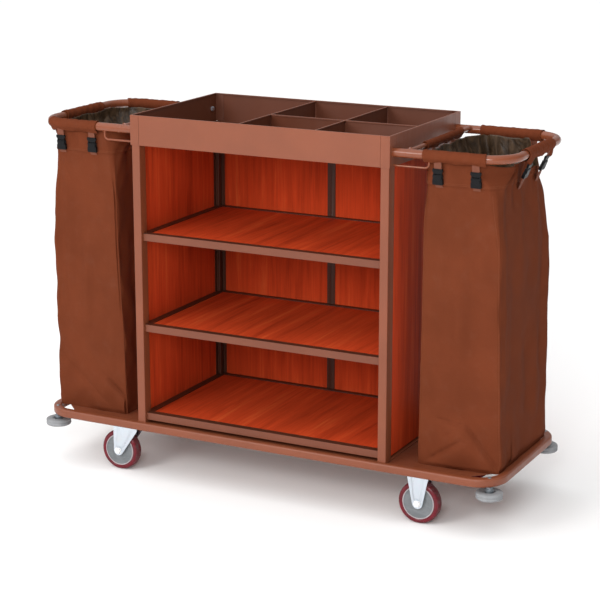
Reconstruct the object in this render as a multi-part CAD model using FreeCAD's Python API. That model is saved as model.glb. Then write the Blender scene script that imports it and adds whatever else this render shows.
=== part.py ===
import FreeCAD, Part
import math
import os

# Housekeeping cart: a shelved cabinet with a divided top tray, standing on a long
# rounded base between two cloth bags that hang from tube hoops.
# X runs along the cart, the open front faces -Y, Z is up and the floor is Z = 0.
# Millimetres.

V = FreeCAD.Vector

# ---- driving dimensions -------------------------------------------------------
# base
BASE_LENGTH = 1510.0
BASE_DEPTH = 524.0
BASE_CORNER_R = 90.0
RIM_TUBE = 25.0
RIM_BOTTOM = 152.0
RIM_ROUND = 6.0
TUBE_WALL = 1.5
VENT_HOLE_R = 4.0
DECK_SHEET = 2.0
DECK_DROP = 5.0
DECK_CHAMFER = 80.0
# cabinet
CABINET_WIDTH = 825.0
CABINET_DEPTH = 500.0
POST_WIDTH = 26.0
POST_DEPTH = 34.0
POST_ROUND = 2.5
GROOVE_LIP = 2.0
GROOVE_DEPTH = 10.0
SIDE_PANEL_SHEET = 8.0
SIDE_PANEL_INSET = 5.0
SIDE_PANEL_GAP = 6.0
BACK_PANEL_SHEET = 6.0
BACK_PANEL_INSET = 6.0
BACK_STRIP_WIDTH = 27.0
PANEL_CLEARANCE = 0.5
# tray
TRAY_TOP = 1115.0
TRAY_HEIGHT = 88.0
TRAY_OVERHANG = 2.5
TRAY_SHEET = 2.0
TRAY_FLOOR_SHEET = 1.5
TRAY_CORNER_X = 28.0
TRAY_CORNER_Y = 42.0
TRAY_HEM = 5.0
TRAY_SEAM = 0.5
TRAY_CORNER_NOTCH = 10.0
DIVIDER_LEFT_X = -62.0
DIVIDER_RIGHT_X = 180.0
DIVIDER_CROSS_Y = -44.0
DIVIDER_SHEET = 1.6
DIVIDER_HEM = 4.5
DIVIDER_DROP = 2.0
# shelves
SHELF_TOPS = {"top": 762.0, "middle": 483.0, "bottom": 206.0}
RAIL_HEIGHT = 22.0
RAIL_SETBACK = 10.0
RAIL_SIDE_WIDTH = 22.0
BOARD_THICK = 12.0
BOARD_DROP = 2.0
BOARD_LIP = 8.0
# bag hoops
HOOP_TUBE_R = 12.5
HOOP_OUTER_X = 762.0
HOOP_ARM_Y = 226.0
HOOP_BEND_R = 90.0
HOOP_Z = 1068.0
HOOP_PLUG = 6.0
CROSSBAR_R = 7.0
CROSSBAR_X = 458.5
CROSSBAR_RISE = 5.5
BRACE_R = 3.0
BRACE_X = 520.0
BRACE_BEND_R = 12.0
BRACE_RISE = 5.0
HOOP_BOLT_R = 4.0
# bags
BAG_CENTRE_X = 612.0
BAG_CLOTH = 2.5
BAG_CORNER_R = 16.0
BAG_HEM_Z = 997.0
BAG_MOUTH_Z = 1048.0
BAG_BOTTOM_SHIFT = -4.0
BAG_BOTTOM_HALF = (121.0, 192.0)
BAG_HEM_HALF = (112.0, 212.0)
BAG_MOUTH_SHIFT = -9.0
BAG_MOUTH_HALF = (129.0, 208.0)
SLEEVE_WALL = 2.0
SLEEVE_GAP = 0.3
SLEEVE_X = (-106.0, 72.0)
SLEEVE_Y = (-105.0, 100.0)
BUCKLE_X = (-67.0, 43.0)
BUCKLE_Y = (-58.0, 80.0)
STRAP_WIDTH = 22.0
STRAP_THICK = 1.6
STRAP_LEAD = 16.0
STRAP_FOOT_Z = 975.0
BUCKLE_WIDTH = 30.0
BUCKLE_HEIGHT = 46.0
BUCKLE_THICK = 9.0
BUCKLE_ROUND = 2.0
# casters
WHEEL_R = 62.5
WHEEL_WIDTH = 32.0
TREAD_INNER_R = 49.0
TREAD_ROUND = 4.0
HUB_LIP_R = 45.5
HUB_BOSS_R = 13.0
HUB_LENGTH = 36.0
HUB_WEB = 26.0
HUB_LIP_WIDTH = 31.0
CASTER_X = 502.0
CASTER_Y = 204.5
CASTER_TRAIL = 30.0
CASTER_HEIGHT = 157.0
PLATE_LENGTH = 100.0
PLATE_WIDTH = 64.0
PLATE_THICK = 3.0
PLATE_BOLT_X = 41.5
PLATE_BOLT_Y = 24.0
FORK_SHEET = 3.0
FORK_GAP = 38.0
FORK_TOP = 143.0
FORK_EYE_R = 16.0
SWIVEL_FORK_LENGTH = 84.0
RIGID_FORK_LENGTH = 66.0
FORK_RIB = 2.0
FORK_RIB_FOOT = 12.0
RACE_R = 28.0
RACE_GAP = 0.3
KINGPIN_R = 6.0
KINGPIN_HEAD_R = 10.0
AXLE_R = 5.0
RUNNING_GAP = 0.05
CROSSMEMBER_WIDTH = 110.0
CASTER_BOLT_R = 4.0
# corner bumpers
BUMPER_R = 38.5
BUMPER_HEIGHT = 21.0
BUMPER_Z = 127.0
BUMPER_ROUND = 3.0
BUMPER_RECESS_R = 17.0
BUMPER_RECESS = 5.0
BUMPER_BOLT_R = 5.0
BUMPER_PLAY = 0.3
BUMPER_SPACER_R = 12.0
BOLT_DOME_R = 8.0
BOLT_DOME_RISE = 3.5
# hexagon sizes across flats and heights
HEX_M8 = (13.0, 5.3)
HEX_M10 = (17.0, 6.4)

# ---- levels and lines worked out from the dimensions ---------------------------
RIM_TOP = RIM_BOTTOM + RIM_TUBE
DECK_TOP = RIM_TOP - DECK_DROP
DECK_HALF_X = BASE_LENGTH / 2 - RIM_TUBE
DECK_HALF_Y = BASE_DEPTH / 2 - RIM_TUBE
TRAY_BOTTOM = TRAY_TOP - TRAY_HEIGHT
POST_OUT_X = CABINET_WIDTH / 2
POST_IN_X = POST_OUT_X - POST_WIDTH
POST_OUT_Y = CABINET_DEPTH / 2
POST_IN_Y = POST_OUT_Y - POST_DEPTH
SIDE_PANEL_OUT = POST_OUT_X - SIDE_PANEL_INSET
SIDE_PANEL_IN = SIDE_PANEL_OUT - SIDE_PANEL_SHEET
BACK_PANEL_OUT = POST_OUT_Y - BACK_PANEL_INSET
BACK_PANEL_IN = BACK_PANEL_OUT - BACK_PANEL_SHEET
TRAY_HALF_X = POST_OUT_X + TRAY_OVERHANG
TRAY_HALF_Y = POST_OUT_Y + TRAY_OVERHANG
TRAY_FLOOR_TOP = TRAY_BOTTOM + TRAY_FLOOR_SHEET
HOOP_END_X = HOOP_OUTER_X - HOOP_TUBE_R
BUMPER_REACH = (BASE_CORNER_R - RIM_TUBE / 2) * math.sqrt(0.5)
BUMPER_X = BASE_LENGTH / 2 - BASE_CORNER_R + BUMPER_REACH
BUMPER_Y = BASE_DEPTH / 2 - BASE_CORNER_R + BUMPER_REACH
SWIVEL_X = -CASTER_X + CASTER_TRAIL
PLATE_BOTTOM = CASTER_HEIGHT - PLATE_THICK
SIDES = {"left": -1, "right": 1}
ENDS = {"front": -1, "back": 1}
THROUGH = 5.0


# ---- plain shapes ---------------------------------------------------------------
def block(x, y, z):
    """A box between two values along each axis, given in any order."""
    low = V(min(x), min(y), min(z))
    return Part.makeBox(max(x) - low.x, max(y) - low.y, max(z) - low.z, low)


def rod(radius, start, end):
    """A round bar between two points."""
    start = V(*start)
    way = V(*end) - start
    return Part.makeCylinder(radius, way.Length, start, way)


def hexagon(size, base, direction):
    """A hexagon head or nut, given by its width across flats and its height."""
    flats, height = size
    radius = flats / math.sqrt(3.0)
    turns = [math.radians(60.0 * step + 30.0) for step in range(7)]
    outline = Part.makePolygon([V(radius * math.cos(a), radius * math.sin(a), 0) for a in turns])
    prism = Part.Face(outline).extrude(V(0, 0, height))
    prism.Placement = FreeCAD.Placement(V(*base), FreeCAD.Rotation(V(0, 0, 1), V(*direction)))
    return prism


def rounded_wire(half_x, half_y, radius, z, centre_x=0.0):
    """A closed rounded rectangle, drawn level at height z."""
    q = radius * (1.0 - math.sqrt(0.5))
    corners = [(1, -1), (1, 1), (-1, 1), (-1, -1)]
    edges = []
    ends = []
    for index, (sx, sy) in enumerate(corners):
        along_x = V(centre_x + sx * (half_x - radius), sy * half_y, z)
        along_y = V(centre_x + sx * half_x, sy * (half_y - radius), z)
        middle = V(centre_x + sx * (half_x - q), sy * (half_y - q), z)
        first, last = (along_x, along_y) if index % 2 == 0 else (along_y, along_x)
        ends.append((first, middle, last))
    for index, (first, middle, last) in enumerate(ends):
        edges.append(Part.Arc(first, middle, last).toShape())
        edges.append(Part.LineSegment(last, ends[(index + 1) % 4][0]).toShape())
    return Part.Wire(edges)


def rounded_plate(half_x, half_y, radius, z, height):
    """A rounded rectangle with thickness."""
    return Part.Face(rounded_wire(half_x, half_y, radius, z)).extrude(V(0, 0, height))


def level_edges(shape):
    """The edges that lie in a level plane."""
    return [e for e in shape.Edges if e.BoundBox.ZLength < 1e-6]


def upright_edges(shape):
    """The straight vertical edges."""
    return [e for e in shape.Edges if e.BoundBox.XLength < 1e-6 and e.BoundBox.YLength < 1e-6]


def extruded(points, direction):
    """A flat outline through the points, pushed along a direction."""
    outline = Part.makePolygon([V(*p) for p in points] + [V(*points[0])])
    return Part.Face(outline).extrude(V(*direction))


def turned(profile, centre):
    """A profile of (radius, height) points turned about the vertical line at centre."""
    points = [V(r, 0, h) for r, h in profile]
    solid = Part.Face(Part.makePolygon(points + [points[0]])).revolve(V(), V(0, 0, 1), 360)
    solid.translate(V(*centre))
    return solid


def wheel_turned(profile, centre):
    """The same, about an axle that runs along Y."""
    solid = turned(profile, (0, 0, 0))
    solid.rotate(V(), V(1, 0, 0), 90)
    solid.translate(V(*centre))
    return solid


def tube_along(wire, radius):
    """A round bar swept along a wire that starts with a straight run along X."""
    start = wire.OrderedVertexes[0].Point
    way = wire.OrderedEdges[0].tangentAt(wire.OrderedEdges[0].FirstParameter)
    ring = Part.Wire(Part.makeCircle(radius, start, way))
    return wire.makePipeShell([ring], True, False)


# ---- base -------------------------------------------------------------------------
def rim_ring(inset, round_r):
    """The rim's ring shape, shrunk on every face by inset."""
    half_x = BASE_LENGTH / 2 - inset
    half_y = BASE_DEPTH / 2 - inset
    width = RIM_TUBE - 2 * inset
    low = RIM_BOTTOM + inset
    outer = rounded_plate(half_x, half_y, BASE_CORNER_R - inset, low, width)
    hole = rounded_plate(half_x - width, half_y - width, BASE_CORNER_R - inset - width, low, width)
    ring = outer.cut(hole)
    return ring.makeFillet(round_r, level_edges(ring))


def bumper_places():
    """The four bumper axes, under the middle of the rim's corners."""
    return [(sx * BUMPER_X, sy * BUMPER_Y) for sx in (-1, 1) for sy in (-1, 1)]


def base_rim():
    """The base's outer tube, with vent holes below and holes for the bumper bolts."""
    rim = rim_ring(0.0, RIM_ROUND).cut(rim_ring(TUBE_WALL, RIM_ROUND - TUBE_WALL))
    rim_y = BASE_DEPTH / 2 - RIM_TUBE / 2
    vents = [(sx * BASE_LENGTH / 6, sy * rim_y) for sx in (-1, 1) for sy in (-1, 1)]
    for x, y in vents:
        rim = rim.cut(rod(VENT_HOLE_R, (x, y, RIM_BOTTOM - 1), (x, y, RIM_BOTTOM + THROUGH)))
    for x, y in bumper_places():
        rim = rim.cut(rod(BUMPER_BOLT_R, (x, y, RIM_BOTTOM - 1), (x, y, RIM_TOP + 1)))
    return rim


def base_deck():
    """The flat sheet inside the rim, cut off at its four corners."""
    c = DECK_CHAMFER
    x, y = DECK_HALF_X, DECK_HALF_Y
    right = [(x - c, -y), (x, c - y), (x, y - c), (x - c, y)]
    corners = right + [(-px, py) for px, py in reversed(right)]
    z = DECK_TOP - DECK_SHEET
    return extruded([(px, py, z) for px, py in corners], (0, 0, DECK_SHEET))


def bolt_places(plate_x, plate_y):
    """Where a caster's four bolts go through its top plate."""
    return [(plate_x + sx * PLATE_BOLT_X, plate_y + sy * PLATE_BOLT_Y) for sx in (-1, 1) for sy in (-1, 1)]


def plate_places():
    """The middles of the four caster plates: swivel ones on the left, rigid ones on the right."""
    return [(x, sy * CASTER_Y) for x in (SWIVEL_X, CASTER_X) for sy in (-1, 1)]


def crossmembers():
    """Two channels under the deck that carry the casters."""
    low, high = CASTER_HEIGHT, DECK_TOP - DECK_SHEET
    half = CROSSMEMBER_WIDTH / 2
    sheet = DECK_SHEET
    found = []
    for centre in (SWIVEL_X, CASTER_X):
        channel = block((centre - half, centre + half), (-DECK_HALF_Y, DECK_HALF_Y), (low, high))
        hollow = block(
            (centre - half + sheet, centre + half - sheet),
            (-DECK_HALF_Y - 1, DECK_HALF_Y + 1),
            (low + sheet, high + 1),
        )
        channel = channel.cut(hollow)
        for sy in (-1, 1):
            for x, y in bolt_places(centre, sy * CASTER_Y):
                channel = channel.cut(rod(CASTER_BOLT_R, (x, y, low - 1), (x, y, low + sheet + 1)))
        found.append(channel)
    return Part.makeCompound(found)


def side_sills():
    """Flat bars on the deck that the posts stand on, between the rim's long sides."""
    reach = DECK_HALF_Y - 0.5
    bars = [block((s * POST_IN_X, s * POST_OUT_X), (-reach, reach), (DECK_TOP, RIM_TOP)) for s in (-1, 1)]
    return Part.makeCompound(bars)


# ---- cabinet ----------------------------------------------------------------------
def post(sx, sy):
    """A corner post: a tube with two lips that hold the side panel's edge."""
    height = (RIM_TOP, TRAY_BOTTOM)
    shell = block((sx * POST_IN_X, sx * POST_OUT_X), (sy * POST_IN_Y, sy * POST_OUT_Y), height)
    shell = shell.makeFillet(POST_ROUND, upright_edges(shell))
    hollow = block(
        (sx * (POST_IN_X + TUBE_WALL), sx * (POST_OUT_X - TUBE_WALL)),
        (sy * (POST_IN_Y + TUBE_WALL), sy * (POST_OUT_Y - TUBE_WALL)),
        (RIM_TOP - 1, TRAY_BOTTOM + 1),
    )
    lip_y = (sy * (POST_IN_Y - GROOVE_DEPTH), sy * (POST_IN_Y + TUBE_WALL))
    for inner in (SIDE_PANEL_IN - GROOVE_LIP, SIDE_PANEL_OUT):
        shell = shell.fuse(block((sx * inner, sx * (inner + GROOVE_LIP)), lip_y, height))
    if sy > 0:
        lip_x = (sx * (POST_IN_X - GROOVE_DEPTH), sx * (POST_IN_X + TUBE_WALL))
        for inner in (BACK_PANEL_IN - GROOVE_LIP, BACK_PANEL_OUT):
            shell = shell.fuse(block(lip_x, (inner, inner + GROOVE_LIP), height))
    return shell.cut(hollow).removeSplitter()


def side_panel(sx):
    """A laminate board between the front and back posts."""
    reach = POST_IN_Y - PANEL_CLEARANCE
    height = (RIM_TOP + SIDE_PANEL_GAP, TRAY_BOTTOM)
    return block((sx * SIDE_PANEL_IN, sx * SIDE_PANEL_OUT), (-reach, reach), height)


def back_panel(sx):
    """Half of the cabinet's back, between a back post and the middle strip."""
    web = GROOVE_LIP / 2 + PANEL_CLEARANCE
    width = (sx * web, sx * (POST_IN_X - PANEL_CLEARANCE))
    return block(width, (BACK_PANEL_IN, BACK_PANEL_OUT), (RIM_TOP + SIDE_PANEL_GAP, TRAY_BOTTOM))


def back_strip():
    """The upright joining strip: an H section with a raised line along its front."""
    height = (RIM_TOP, TRAY_BOTTOM)
    half = BACK_STRIP_WIDTH / 2
    web = GROOVE_LIP / 2
    strip = block((-web, web), (BACK_PANEL_IN - GROOVE_LIP - 1, BACK_PANEL_OUT + GROOVE_LIP), height)
    for inner in (BACK_PANEL_IN - GROOVE_LIP, BACK_PANEL_OUT):
        strip = strip.fuse(block((-half, half), (inner, inner + GROOVE_LIP), height))
    return strip.removeSplitter()


def shelf_rail(x, y, z):
    """A rail folded from sheet: closed above and at the sides, open below."""
    hollow = block(
        (min(x) + TUBE_WALL, max(x) - TUBE_WALL),
        (min(y) + TUBE_WALL, max(y) - TUBE_WALL),
        (min(z) - 1, max(z) - TUBE_WALL),
    )
    return block(x, y, z).cut(hollow)


def shelf_frame(top):
    """Four rails round a board, with a lip below it, fitted between the posts."""
    height = (top - RAIL_HEIGHT, top)
    outer = SIDE_PANEL_IN - GROOVE_LIP
    inner = outer - RAIL_SIDE_WIDTH
    frame = shelf_rail((-POST_IN_X, POST_IN_X), (RAIL_SETBACK - POST_OUT_Y, -POST_IN_Y), height)
    back = BACK_PANEL_IN - GROOVE_LIP - 1
    frame = frame.fuse(shelf_rail((-POST_IN_X, POST_IN_X), (POST_IN_Y, back), height))
    for s in (-1, 1):
        frame = frame.fuse(shelf_rail((s * inner, s * outer), (-POST_IN_Y, POST_IN_Y), height))
    seat = top - BOARD_DROP - BOARD_THICK
    lip = block((-inner, inner), (-POST_IN_Y, POST_IN_Y), (seat - TUBE_WALL, seat))
    reach_x, reach_y = inner - BOARD_LIP, POST_IN_Y - BOARD_LIP
    lip = lip.cut(block((-reach_x, reach_x), (-reach_y, reach_y), (seat - THROUGH, seat + 1)))
    return frame.fuse(lip).removeSplitter()


def shelf_board(top):
    """The laminate board that lies inside a shelf frame."""
    inner = SIDE_PANEL_IN - GROOVE_LIP - RAIL_SIDE_WIDTH - PANEL_CLEARANCE
    reach = POST_IN_Y - PANEL_CLEARANCE
    high = top - BOARD_DROP
    return block((-inner, inner), (-reach, reach), (high - BOARD_THICK, high))


# ---- tray -------------------------------------------------------------------------
def wall_section(out):
    """The tray wall's section, as (distance in from the outer face, height) points."""
    t, hem, top = TRAY_SHEET, TRAY_HEM, TRAY_TOP
    inward = [0, 0, hem, hem, hem - t / 2, hem - t / 2, t, t]
    height = [TRAY_BOTTOM, top, top, top - hem, top - hem, top - t, top - t, TRAY_BOTTOM]
    return [(out - i, z) for i, z in zip(inward, height)]


def tray_long_wall(sy):
    """The front or back sheet, with a hem folded in along its top."""
    half = TRAY_HALF_X - TRAY_CORNER_X - TRAY_SEAM
    points = [(-half, sy * y, z) for y, z in wall_section(TRAY_HALF_Y)]
    return extruded(points, (2 * half, 0, 0))


def tray_end_wall(sx):
    """The left or right sheet, made the same way."""
    half = TRAY_HALF_Y - TRAY_CORNER_Y - TRAY_SEAM
    points = [(sx * x, -half, z) for x, z in wall_section(TRAY_HALF_X)]
    return extruded(points, (0, 2 * half, 0))


def tray_corners():
    """Four corner angles over the posts, with the top hem turned round the corner."""
    found = []
    for sx in (-1, 1):
        for sy in (-1, 1):
            height = (TRAY_BOTTOM, TRAY_TOP)
            in_x, in_y = TRAY_HALF_X - TRAY_CORNER_X, TRAY_HALF_Y - TRAY_CORNER_Y
            full_x, full_y = (sx * in_x, sx * TRAY_HALF_X), (sy * in_y, sy * TRAY_HALF_Y)
            angle = block(full_x, full_y, height)
            angle = angle.cut(block(
                (sx * (in_x - 1), sx * (TRAY_HALF_X - TRAY_SHEET)),
                (sy * (in_y - 1), sy * (TRAY_HALF_Y - TRAY_SHEET)),
                (TRAY_BOTTOM - 1, TRAY_TOP - TRAY_SHEET),
            ))
            angle = angle.cut(block(
                (sx * (in_x - 1), sx * (TRAY_HALF_X - TRAY_HEM)),
                (sy * (in_y - 1), sy * (TRAY_HALF_Y - TRAY_HEM)),
                (TRAY_TOP - THROUGH, TRAY_TOP + 1),
            ))
            arm = (sx * (TRAY_HALF_X - THROUGH), sy * HOOP_ARM_Y, HOOP_Z)
            out = (sx * (TRAY_HALF_X + THROUGH), sy * HOOP_ARM_Y, HOOP_Z)
            found.append(angle.cut(rod(HOOP_BOLT_R, arm, out)))
    return Part.makeCompound(found)


def tray_floor():
    """The tray's bottom sheet, notched at its corners."""
    x, y = TRAY_HALF_X - TRAY_SHEET, TRAY_HALF_Y - TRAY_SHEET
    sheet = block((-x, x), (-y, y), (TRAY_BOTTOM, TRAY_FLOOR_TOP))
    cut = TRAY_CORNER_NOTCH
    for sx in (-1, 1):
        for sy in (-1, 1):
            notch = block((sx * (x - cut), sx * (x + 1)), (sy * (y - cut), sy * (y + 1)), (0, TRAY_TOP))
            sheet = sheet.cut(notch)
    return sheet


def divider(start, end, axis):
    """An upright sheet with a thicker hem along its top; axis is the line's fixed value."""
    web, hem = DIVIDER_SHEET / 2, DIVIDER_HEM / 2
    top = TRAY_TOP - DIVIDER_DROP
    section = [(-web, TRAY_FLOOR_TOP), (-web, top - DIVIDER_HEM), (-hem, top - DIVIDER_HEM), (-hem, top)]
    section += [(-d, z) for d, z in reversed(section)]
    points = [(axis + d, start, z) for d, z in section]
    return extruded(points, (0, end - start, 0))


def cross_slot(x):
    """The upper half of the crossing between a long divider and the cross divider."""
    hem = DIVIDER_HEM / 2
    middle = (TRAY_FLOOR_TOP + TRAY_TOP) / 2
    return block((x - hem, x + hem), (DIVIDER_CROSS_Y - hem, DIVIDER_CROSS_Y + hem), (middle, TRAY_TOP + 1))


def tray_divider(x, slotted):
    """A divider from front to back; slotted where the cross divider drops into it."""
    half = TRAY_HALF_Y - TRAY_HEM
    sheet = divider(-half, half, x)
    return sheet.cut(cross_slot(x)) if slotted else sheet


def tray_divider_cross():
    """The divider along the cart, from the left divider to the tray's right end."""
    start = DIVIDER_LEFT_X + DIVIDER_HEM / 2
    end = TRAY_HALF_X - TRAY_HEM
    sheet = divider(start, end, 0.0)
    sheet.rotate(V(), V(0, 0, 1), -90)
    sheet.translate(V(0, DIVIDER_CROSS_Y, 0))
    shift = sheet.BoundBox.XMin - start
    sheet.translate(V(-shift, 0, 0))
    middle = (TRAY_FLOOR_TOP + TRAY_TOP) / 2
    web = DIVIDER_SHEET / 2
    low = (DIVIDER_RIGHT_X - web, DIVIDER_RIGHT_X + web)
    return sheet.cut(block(low, (DIVIDER_CROSS_Y - THROUGH, DIVIDER_CROSS_Y + THROUGH), (0, middle)))


# ---- bag hoops ----------------------------------------------------------------------
def hoop_wire(sx):
    """The hoop's centre line: out along the front, round the end and back."""
    bend = HOOP_BEND_R
    q = bend * (1.0 - math.sqrt(0.5))
    near, far = TRAY_HALF_X, HOOP_END_X
    y = HOOP_ARM_Y

    def at(x, py):
        return V(sx * x, py, HOOP_Z)

    return Part.Wire([
        Part.LineSegment(at(near, -y), at(far - bend, -y)).toShape(),
        Part.Arc(at(far - bend, -y), at(far - q, q - y), at(far, bend - y)).toShape(),
        Part.LineSegment(at(far, bend - y), at(far, y - bend)).toShape(),
        Part.Arc(at(far, y - bend), at(far - q, y - q), at(far - bend, y)).toShape(),
        Part.LineSegment(at(far - bend, y), at(near, y)).toShape(),
    ])


def hoop(sx):
    """A bent tube with a plug at each end, where it is bolted to the tray's corners."""
    wire = hoop_wire(sx)
    tube = tube_along(wire, HOOP_TUBE_R).cut(tube_along(wire, HOOP_TUBE_R - TUBE_WALL))
    for sy in (-1, 1):
        start = (sx * TRAY_HALF_X, sy * HOOP_ARM_Y, HOOP_Z)
        end = (sx * (TRAY_HALF_X + HOOP_PLUG), sy * HOOP_ARM_Y, HOOP_Z)
        tube = tube.fuse(rod(HOOP_TUBE_R - TUBE_WALL, start, end)).cut(rod(HOOP_BOLT_R, start, end))
    return tube.removeSplitter()


def hoop_bolts():
    """Four bolts from inside the tray into the hoops' end plugs, with their nuts."""
    found = []
    for sx in (-1, 1):
        for sy in (-1, 1):
            inside = TRAY_HALF_X - TRAY_SHEET
            nut_x = TRAY_HALF_X + HOOP_PLUG
            tip = nut_x + HEX_M8[1]
            centre = (sy * HOOP_ARM_Y, HOOP_Z)
            bolt = rod(HOOP_BOLT_R, (sx * inside, *centre), (sx * tip, *centre))
            head = hexagon(HEX_M8, (sx * (inside - HEX_M8[1]), *centre), (sx, 0, 0))
            nut = hexagon(HEX_M8, (sx * nut_x, *centre), (sx, 0, 0))
            found.append(bolt.fuse(head))
            found.append(nut.cut(rod(HOOP_BOLT_R, (sx * inside, *centre), (sx * (tip + 1), *centre))))
    return Part.makeCompound(found)


def hoop_crossbars():
    """The thin bar between a hoop's arms on the cabinet side, shaped to the arms."""
    found = []
    z = HOOP_Z + CROSSBAR_RISE
    for sx in (-1, 1):
        x = sx * CROSSBAR_X
        bar = rod(CROSSBAR_R, (x, -HOOP_ARM_Y, z), (x, HOOP_ARM_Y, z))
        for sy in (-1, 1):
            start = (sx * TRAY_HALF_X, sy * HOOP_ARM_Y, HOOP_Z)
            end = (sx * (HOOP_END_X - HOOP_BEND_R), sy * HOOP_ARM_Y, HOOP_Z)
            bar = bar.cut(rod(HOOP_TUBE_R + RUNNING_GAP, start, end))
        found.append(max(bar.Solids, key=lambda s: s.Volume))
    return Part.makeCompound(found)


def brace_wire(sx, sy):
    """A brace's centre line: level out from the tray, then up to the arm."""
    z = TRAY_BOTTOM + BRACE_RISE
    top = HOOP_Z - HOOP_TUBE_R
    bend = BRACE_BEND_R
    q = bend * (1.0 - math.sqrt(0.5))
    y = sy * HOOP_ARM_Y

    def at(x, pz):
        return V(sx * x, y, pz)

    return Part.Wire([
        Part.LineSegment(at(TRAY_HALF_X, z), at(BRACE_X - bend, z)).toShape(),
        Part.Arc(at(BRACE_X - bend, z), at(BRACE_X - q, z + q), at(BRACE_X, z + bend)).toShape(),
        Part.LineSegment(at(BRACE_X, z + bend), at(BRACE_X, top)).toShape(),
    ])


def hoop_braces():
    """Four bent wires under the hoops' arms."""
    return Part.makeCompound([tube_along(brace_wire(sx, sy), BRACE_R) for sx in (-1, 1) for sy in (-1, 1)])


# ---- bags ---------------------------------------------------------------------------
def bag_body(sx):
    """A bag as an open-topped shell of cloth that stands on the deck and widens at its mouth."""
    sections = [
        (DECK_TOP, BAG_BOTTOM_HALF, sx * BAG_BOTTOM_SHIFT),
        (BAG_HEM_Z, BAG_HEM_HALF, 0.0),
        (BAG_MOUTH_Z, BAG_MOUTH_HALF, sx * BAG_MOUTH_SHIFT),
    ]

    def loft(inset, lift):
        wires = [
            rounded_wire(hx - inset, hy - inset, BAG_CORNER_R - inset, z, sx * BAG_CENTRE_X + shift)
            for z, (hx, hy), shift in sections
        ]
        wires[0].translate(V(0, 0, lift))
        return Part.makeLoft(wires, True, True)

    return loft(0.0, 0.0).cut(loft(BAG_CLOTH, BAG_CLOTH)).removeSplitter()


def bag_sides(sx):
    """For each side of a bag: its turn about Z, the hung edge's distance, the bar's radius and
    height, the bag wall's distance, and where the sleeve and the buckles are along the side."""
    arm_y = (HOOP_ARM_Y, HOOP_TUBE_R, HOOP_Z, BAG_HEM_HALF[1])
    out_x = (HOOP_END_X - BAG_CENTRE_X, HOOP_TUBE_R, HOOP_Z, BAG_HEM_HALF[0])
    in_x = (BAG_CENTRE_X - CROSSBAR_X, CROSSBAR_R, HOOP_Z + CROSSBAR_RISE, BAG_HEM_HALF[0])
    straight = HOOP_END_X - HOOP_BEND_R - BAG_CENTRE_X
    right_end = straight if sx > 0 else SLEEVE_X[1]
    left_end = SLEEVE_X[0] if sx > 0 else -straight
    along_x = (max(SLEEVE_X[0], left_end), min(SLEEVE_X[1], right_end))
    flipped_x = (-along_x[1], -along_x[0])
    flipped_y = (-SLEEVE_Y[1], -SLEEVE_Y[0])
    front = (0, *arm_y, along_x, BUCKLE_X)
    back = (180, *arm_y, flipped_x, [-x for x in BUCKLE_X])
    right = (90, *(out_x if sx > 0 else in_x), SLEEVE_Y, BUCKLE_Y)
    left = (-90, *(in_x if sx > 0 else out_x), flipped_y, [-y for y in BUCKLE_Y])
    return [front, back, right, left]


def side_placement(sx, angle):
    """From a side's own frame, where -Y points out of the bag, to its place on the cart."""
    return FreeCAD.Placement(V(sx * BAG_CENTRE_X, 0, 0), FreeCAD.Rotation(V(0, 0, 1), angle))


def brace_upright(sx, sy):
    """The space that a brace's upright end needs where it meets the hoop's arm."""
    foot = (sx * BRACE_X, sy * HOOP_ARM_Y, TRAY_BOTTOM)
    return rod(BRACE_R + SLEEVE_GAP, foot, (foot[0], foot[1], HOOP_Z))


def bag_sleeves():
    """The hemmed cloth sleeves that wrap the hoops' tubes, four to a bag, slit for the braces."""
    found = []
    for sx in (-1, 1):
        for angle, reach, bar_r, z, _wall, span, _buckles in bag_sides(sx):
            start, end = (span[0], -reach, z), (span[1], -reach, z)
            outer = rod(bar_r + SLEEVE_GAP + SLEEVE_WALL, start, end)
            sleeve = outer.cut(rod(bar_r + SLEEVE_GAP, start, end))
            sleeve.Placement = side_placement(sx, angle)
            for sy in (-1, 1):
                sleeve = sleeve.cut(brace_upright(sx, sy))
            found.append(sleeve)
    return Part.makeCompound(found)


def strap_run(reach, bar_r, z, wall):
    """The line of one strap, from under its sleeve down to the bag's wall."""
    top = V(0, -reach, z - bar_r - SLEEVE_GAP - SLEEVE_WALL - PANEL_CLEARANCE)
    foot = V(0, -wall - BAG_CLOTH, STRAP_FOOT_Z)
    return top, foot


def slab(middle, top, foot, width, thick):
    """A flat bar between two points of a side's frame, centred at middle along the side."""
    way = foot - top
    solid = Part.makeBox(width, thick, way.Length, V(-width / 2, -thick / 2, 0))
    tilt = FreeCAD.Rotation(V(0, 0, 1), way)
    solid.Placement = FreeCAD.Placement(top + V(middle, 0, 0), tilt)
    return solid


def bag_straps_and_buckles():
    """Two webbing straps on each side of a bag, each cut by a side-release buckle."""
    straps = []
    buckles = []
    for sx in (-1, 1):
        for angle, reach, bar_r, z, wall, _span, places in bag_sides(sx):
            top, foot = strap_run(reach, bar_r, z, wall)
            unit = (foot - top).normalize()
            first = top + unit * STRAP_LEAD
            last = first + unit * BUCKLE_HEIGHT
            for middle in places:
                for start, end in ((top, first), (last, foot)):
                    straps.append(slab(middle, start, end, STRAP_WIDTH, STRAP_THICK))
                buckles.append(slab(middle, first, last, BUCKLE_WIDTH, BUCKLE_THICK))
                buckles[-1] = buckles[-1].makeFillet(BUCKLE_ROUND, buckles[-1].Edges)
                for piece in (straps[-2], straps[-1], buckles[-1]):
                    piece.Placement = side_placement(sx, angle).multiply(piece.Placement)
    return Part.makeCompound(straps), Part.makeCompound(buckles)


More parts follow.
